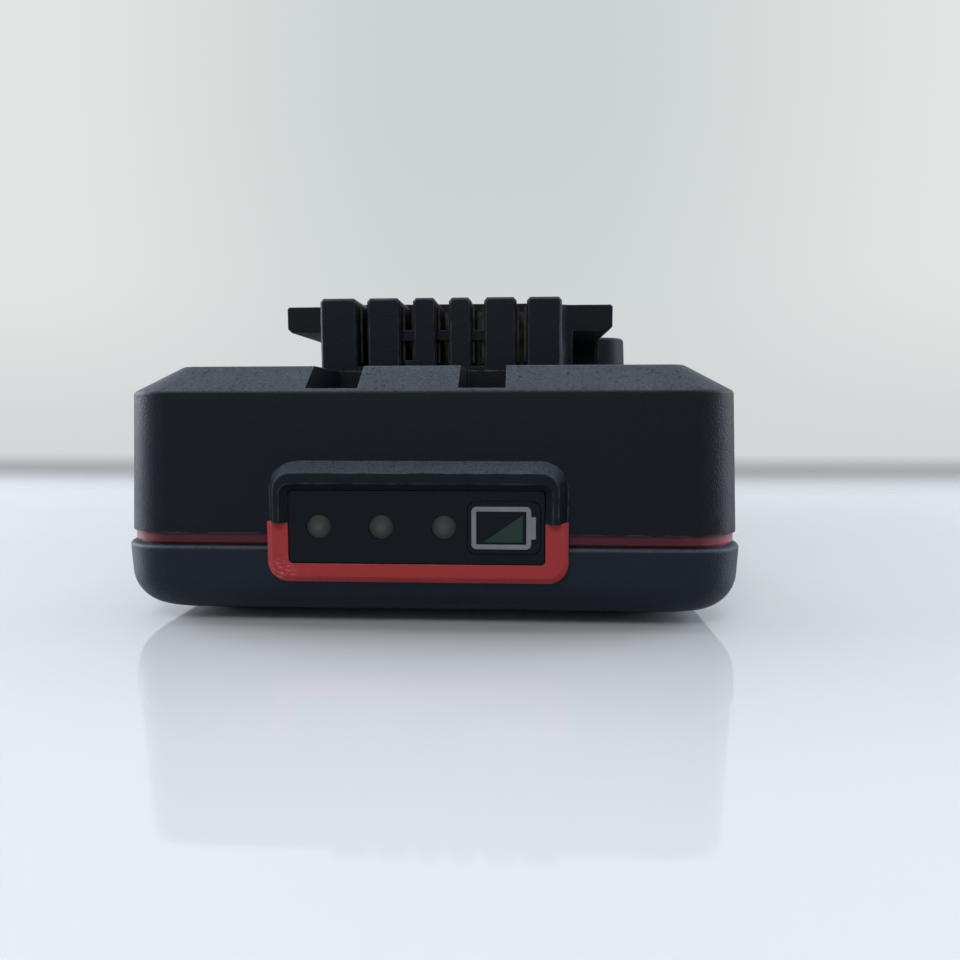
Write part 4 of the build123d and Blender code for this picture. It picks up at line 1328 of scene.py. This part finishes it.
    def build_foam(self) -> None:
        """Make the foam block, crowned on all six sides.

        A direction n over the sphere gives the point (half - round) n / max|n| + round n.
        """
        low, high = corners("rear_pad")
        up, round_it = self.foam_grid
        v = np.linspace(-np.pi / 2, np.pi / 2, up)[:, None]
        u = np.linspace(0, 2 * np.pi, round_it, endpoint=False)[None, :]
        n = np.stack(np.broadcast_arrays(np.cos(v) * np.cos(u), np.cos(v) * np.sin(u), np.sin(v)), axis=-1)
        box = n / np.abs(n).max(axis=-1, keepdims=True)
        points = (low + high) / 2 + ((high - low) / 2 - self.foam_round) * box + self.foam_round * n
        piece = mesh_piece("foam_block", [Surface(points)])
        finish_piece(piece, Rides.PACK, self.foam.make(), "rear_pad")

    def build(self) -> None:
        """Make the cells and the foam block."""
        self.build_cells()
        self.build_foam()

    def finishes(self) -> dict[Finish, list[str]]:
        """Which of the frame's nodes get which finish."""
        return {self.ring: ["cell_rings"], self.carrier: ["carrier_left", "carrier_right"],
                self.nickel: ["links_left", "links_right", "power_tabs"],
                self.paper: ["paper_left", "paper_right"]}


# The board


@dataclass
class MainBoard(SubAssembly):
    """The main board and what is on it."""

    board: SolderMask = SolderMask("green_solder_mask_main", "board_green", "124f2d")
    epoxy: GrainedPlastic = GrainedPlastic("moulded_epoxy_main", "chip_black", "1b1c1e", grain_mm=0.12,
                                           lift_mm=0.006, dust_and_sheen=0.0, round_mm=0.1)
    can: RolledMetal = RolledMetal("capacitor_can", "cap_can", "b9bbbe", bloom="8c8e91")

    def finishes(self) -> dict[Finish, list[str]]:
        """Which of the frame's nodes get which finish."""
        return {self.board: ["main_board"], self.epoxy: ["board_fets", "board_chip", "thermistor"],
                self.can: ["board_capacitor"]}


# The latch


@dataclass
class ReleaseLatch(SubAssembly):
    """The latch with its hook and thumb pad, and the two coil springs under it.

    Attributes:
        wire: the spring wire's diameter.
        turns: the turns of one spring, its closed ends included.
        steps: grid rows along one turn.
        around: grid columns round the wire.
        closing: how far the end turns are closed, 0 to 1.
        travel: how far the latch comes down; not used.
    """

    wire: float = 0.6 * MM
    turns: float = 7.5
    steps: int = 28
    around: int = 12
    closing: float = 0.85
    travel: float = 4.0 * MM
    plastic: GrainedPlastic = GrainedPlastic("black_latch_abs", "black_abs", "111418", grain_mm=0.22,
                                             lift_mm=0.01, dull=0.55, rubbed=0.40)
    music_wire: RolledMetal = RolledMetal("spring_music_wire", "steel", "94969a", bloom="6d6f73",
                                          grain_along=UNSTRETCHED, bright=0.2, dull=0.36)

    def coil(self, low: np.ndarray, high: np.ndarray) -> Surface:
        """A closed-end coil spring that fills a box.

        The wire's middle runs round a circle at a steady rate; its height is
        t - closing sin(2 pi t) / (2 pi) of the way up, so the end turns lie close. Round that line goes a
        circle of the wire's radius, in the plane of the radial direction and the vertical.

        Args:
            low: the box's lowest corner.
            high: its highest corner.

        Returns:
            The wire's surface.
        """
        t = np.linspace(0.0, 1.0, int(self.turns * self.steps) + 1)[:, None]
        phi = np.linspace(0.0, 2 * np.pi, self.around, endpoint=False)[None, :]
        turn = 2 * np.pi * self.turns * t
        eased = t - self.closing * np.sin(2 * np.pi * t) / (2 * np.pi)
        height = low[2] + self.wire / 2 + (high[2] - low[2] - self.wire) * eased
        reach = (high[0] - low[0]) / 2 - self.wire / 2 + self.wire / 2 * np.cos(phi)
        x = (low[0] + high[0]) / 2 + reach * np.cos(turn)
        y = (low[1] + high[1]) / 2 + reach * np.sin(turn)
        z = height + self.wire / 2 * np.sin(phi)
        return Surface(np.stack(np.broadcast_arrays(x, y, z), axis=-1), capped=True)

    def build(self) -> None:
        """Make the two springs."""
        material = self.music_wire.make()
        for side in ("left", "right"):
            node = f"latch_spring_{side}"
            low, high = corners(node)
            piece = mesh_piece(f"coil_spring_{side}", [self.coil(low, high)])
            finish_piece(piece, Rides.PACK, material, node)
            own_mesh(piece)

    def finishes(self) -> dict[Finish, list[str]]:
        """Which of the frame's nodes get which finish."""
        return {self.plastic: ["release_latch"]}


# The studio


@dataclass(frozen=True)
class Softbox:
    """A soft rectangular lamp.

    Attributes:
        name: its name.
        at: where it hangs, in metres.
        towards: the point it looks at.
        size: its width and height.
        power: its power in watts.
        colour: the colour of its light.
        mirrored: whether glossy faces and the table show it.
    """

    name: str
    at: Point
    towards: Point
    size: tuple[float, float]
    power: float
    colour: str = "ffffff"
    mirrored: bool = True

    def hang(self) -> None:
        """Put the lamp in the scene, where the camera itself doesn't see it."""
        data = bpy.data.lights.new(self.name, "AREA")
        data.shape, data.energy, data.color = "RECTANGLE", self.power, linear(self.colour)[:3]
        data.size, data.size_y = self.size
        lamp = add_object(self.name, data)
        lamp.visible_camera, lamp.visible_glossy = False, self.mirrored
        lamp.location = self.at
        lamp.rotation_euler = (Vector(self.towards) - Vector(self.at)).to_track_quat("-Z", "Y").to_euler()


@dataclass
class Studio:
    """The glossy table, the wall behind it, the lamps and the camera.

    Attributes:
        camera_at: where the camera stands.
        pitch: how far it looks down, in degrees.
        turn: how far it is turned to the left, in degrees.
        roll: its roll, in degrees.
        lens: its focal length in millimetres.
        sensor: the width of its sensor in millimetres.
        clip_start: how near it sees.
        wall_at: how far back the wall stands.
        reach: how far the table and the wall go to either side.
        wall_height: how high the wall is.
        wall_foot: how far it goes down behind the table.
        table_colour: the lacquer.
        table_painted_shade: the painted shade that the lacquer takes on towards the wall.
        painted_shade_from: how far back that painted shade begins.
        lacquer_roughness: the lacquer's roughness.
        wall_colour: the wall's paint.
        wall_low: the painted shade that shows low on the wall.
        wall_high: the darker painted shade that shows high on it, behind the pack.
        wall_rise: the height by which the one has become the other.
        wall_side: the painted light that shows high on it, to the sides.
        side_from: how far out from the middle the side tone begins, and where it is full.
        side_rise: the height at which it is full.
        joint_shade: the painted shade along the joint between wall and table.
        joint_height: how high that tone reaches.
        room_colour: the tone beyond the wall.
        room_light: the colour of the room's own light.
        room_strength: how strong it is.
        lamps: the softboxes and windows.
    """

    camera_at: Point = (11.72 * MM, -145.43 * MM, 26.57 * MM)
    pitch: float = 5.45
    turn: float = 3.23
    roll: float = 0.10
    lens: float = 28.125
    sensor: float = 36.0
    clip_start: float = 0.005
    wall_at: float = 0.178
    reach: float = 3.0
    wall_height: float = 1.2
    wall_foot: float = 0.02
    table_colour: str = "bdbfc1"
    table_painted_shade: str = "85878a"
    painted_shade_from: float = 0.08
    lacquer_roughness: float = 0.05
    wall_colour: str = "dfe2e3"
    wall_low: str = "d3d7d8"
    wall_high: str = "ccd2d2"
    wall_rise: float = 0.15
    wall_side: str = "e2e5e4"
    side_from: tuple[float, float] = (0.02, 0.21)
    side_rise: float = 0.09
    joint_shade: str = "a8aaad"
    joint_height: float = 8.0 * MM
    room_colour: str = "dde1e1"
    room_light: Rgba = (0.9, 0.95, 1.0, 1.0)
    room_strength: float = 0.45
    lamps: tuple[Softbox, ...] = (
        Softbox("overhead_softbox", (0.0, 0.04, 0.62), (0.0, 0.0, 0.0), (0.8, 0.55), 1.6, mirrored=False),
        Softbox("front_softbox", (-0.05, -0.55, 0.52), (0.0, -0.05, 0.0), (0.28, 0.20), 2.0),
        Softbox("left_window", (-0.44, 0.06, 0.16), (-0.03, -0.05, 0.02), (0.34, 0.28), 3.7, "e8f0ff"),
        Softbox("right_window", (0.44, 0.10, 0.16), (0.03, -0.05, 0.02), (0.34, 0.28), 3.1, "e8f0ff"))

    def plate(self, name: str, low: float, high: float, upright: bool, material: Material) -> None:
        """A large flat sheet, drawn as a 2 by 2 grid.

        Args:
            name: its name.
            low: its lowest Z if upright, otherwise its lowest Y.
            high: its highest.
            upright: whether it stands at the wall's place instead of lying on the ground.
            material: what it is made of.
        """
        u, v = np.meshgrid(np.linspace(-self.reach, self.reach, 3), np.linspace(low, high, 3), indexing="ij")
        level = np.full_like(u, self.wall_at if upright else 0.0)
        points = np.stack([u, level, v] if upright else [u, v, level], axis=-1)
        mesh = bpy.data.meshes.new(name)
        quads = [[first, first + 3, first + 4, first + 1] for first in (0, 1, 3, 4)]
        mesh.from_pydata(points.reshape(-1, 3).tolist(), [], quads)
        mesh.materials.append(material)
        add_object(name, mesh)

    def table_material(self) -> Material:
        """White lacquer: it takes the shadow and mirrors the pack faintly, with painted shade towards the
        wall.

        Returns:
            The material.
        """
        material, tree = bare_material("white_lacquer_table")
        place = add_node(tree, "ShaderNodeTexCoord").outputs["Object"]
        depth = add_node(tree, "ShaderNodeSeparateXYZ", inputs={0: place}).outputs["Y"]
        # Painted shade on the table, darker towards the wall.
        away = add_node(tree, "ShaderNodeMapRange", {"interpolation_type": "SMOOTHSTEP"},
                        {0: depth, 1: self.painted_shade_from, 2: self.wall_at}).outputs[0]
        shader = add_node(tree, "ShaderNodeBsdfPrincipled", inputs={
            "Base Color": layered(tree, linear(self.table_colour), (away, linear(self.table_painted_shade))),
            "Roughness": self.lacquer_roughness, "IOR": LACQUER_IOR})
        add_node(tree, "ShaderNodeOutputMaterial", inputs={"Surface": shader.outputs["BSDF"]})
        return material

    def seen_as(self, tree: Tree, own: bpy.types.Node, shown: bpy.types.Node) -> Socket:
        """Let one shader show where the camera, a mirror or glass looks, and another light the scene.

        Args:
            tree: the node tree.
            own: the shader that lights the scene.
            shown: the shader that is looked at.

        Returns:
            The two, mixed.
        """
        rays = add_node(tree, "ShaderNodeLightPath").outputs
        looked_at = rays["Is Camera Ray"]
        for ray in ("Is Glossy Ray", "Is Transmission Ray"):
            looked_at = add_node(tree, "ShaderNodeMath", {"operation": "MAXIMUM"},
                                 {0: looked_at, 1: rays[ray]}).outputs[0]
        return add_node(tree, "ShaderNodeMixShader",
                        inputs={0: looked_at, 1: own.outputs[0], 2: shown.outputs[0]}).outputs[0]

    def wall_material(self) -> Material:
        """Matt wall paint, which the camera, mirrors and glass see as a pale tone with painted shade low
        down.

        Returns:
            The material.
        """
        material, tree = bare_material("pale_wall_paint")
        place = add_node(tree, "ShaderNodeTexCoord").outputs["Object"]
        spread = add_node(tree, "ShaderNodeSeparateXYZ", inputs={0: place})
        height = spread.outputs["Z"]
        aside = add_node(tree, "ShaderNodeMath", {"operation": "ABSOLUTE"}, {0: spread.outputs["X"]})
        rise, out, up, joint = [add_node(tree, "ShaderNodeMapRange", {"interpolation_type": kind}, {
            0: value, 1: low, 2: high}).outputs[0] for kind, value, low, high in (
                ("LINEAR", height, 0.0, self.wall_rise), ("SMOOTHSTEP", aside.outputs[0], *self.side_from),
                ("SMOOTHSTEP", height, 0.0, self.side_rise), ("SMOOTHSTEP", height, 0.0, self.joint_height))]
        # Painted light and shade on the wall: greyer low down and behind the pack, paler to the sides.
        tone = layered(tree, linear(self.wall_low), (rise, linear(self.wall_high)),
                       (product(tree, out, up), linear(self.wall_side)))
        shown = layered(tree, linear(self.joint_shade), (joint, tone))
        paint = add_node(tree, "ShaderNodeBsdfDiffuse", inputs={"Color": linear(self.wall_colour)})
        seen = add_node(tree, "ShaderNodeEmission", inputs={"Color": shown, "Strength": 1.0})
        add_node(tree, "ShaderNodeOutputMaterial", inputs={"Surface": self.seen_as(tree, paint, seen)})
        return material

    def world(self) -> None:
        """A dim even room, pale where the camera, mirrors or glass look straight at it."""
        room = bpy.data.worlds.new("room")
        bpy.context.scene.world = room
        room.use_nodes = True
        tree = room.node_tree
        tree.nodes.clear()
        dim, seen = [add_node(tree, "ShaderNodeBackground", inputs={"Color": colour, "Strength": strength})
                     for colour, strength in ((self.room_light, self.room_strength),
                                              (linear(self.room_colour), 1.0))]
        add_node(tree, "ShaderNodeOutputWorld", inputs={"Surface": self.seen_as(tree, dim, seen)})

    def camera(self) -> None:
        """The camera at the photograph's place."""
        data = bpy.data.cameras.new("portrait_camera")
        data.lens, data.sensor_width, data.clip_start = self.lens, self.sensor, self.clip_start
        camera = add_object("portrait_camera", data)
        camera.location = self.camera_at
        camera.rotation_euler = [math.radians(angle) for angle in (90 - self.pitch, self.roll, self.turn)]
        bpy.context.scene.camera = camera

    def build(self) -> None:
        """Set up the table, wall, lamps, world and camera."""
        self.plate("table", -self.reach, self.wall_at, False, self.table_material())
        self.plate("wall", -self.wall_foot, self.wall_height, True, self.wall_material())
        for softbox in self.lamps:
            softbox.hang()
        self.world()
        self.camera()
        bpy.context.scene.view_settings.view_transform = "Standard"


def main() -> None:
    """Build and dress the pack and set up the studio."""
    logging.basicConfig(level=logging.INFO, format="%(name)s: %(message)s")
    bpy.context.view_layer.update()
    for group in (CaseShells(), ChargeGauge(), TerminalComb(), CellStack(), MainBoard(), ReleaseLatch(),
                  Fasteners()):
        group.build()
        group.dress()
    Studio().build()


if __name__ == "__main__":
    main()
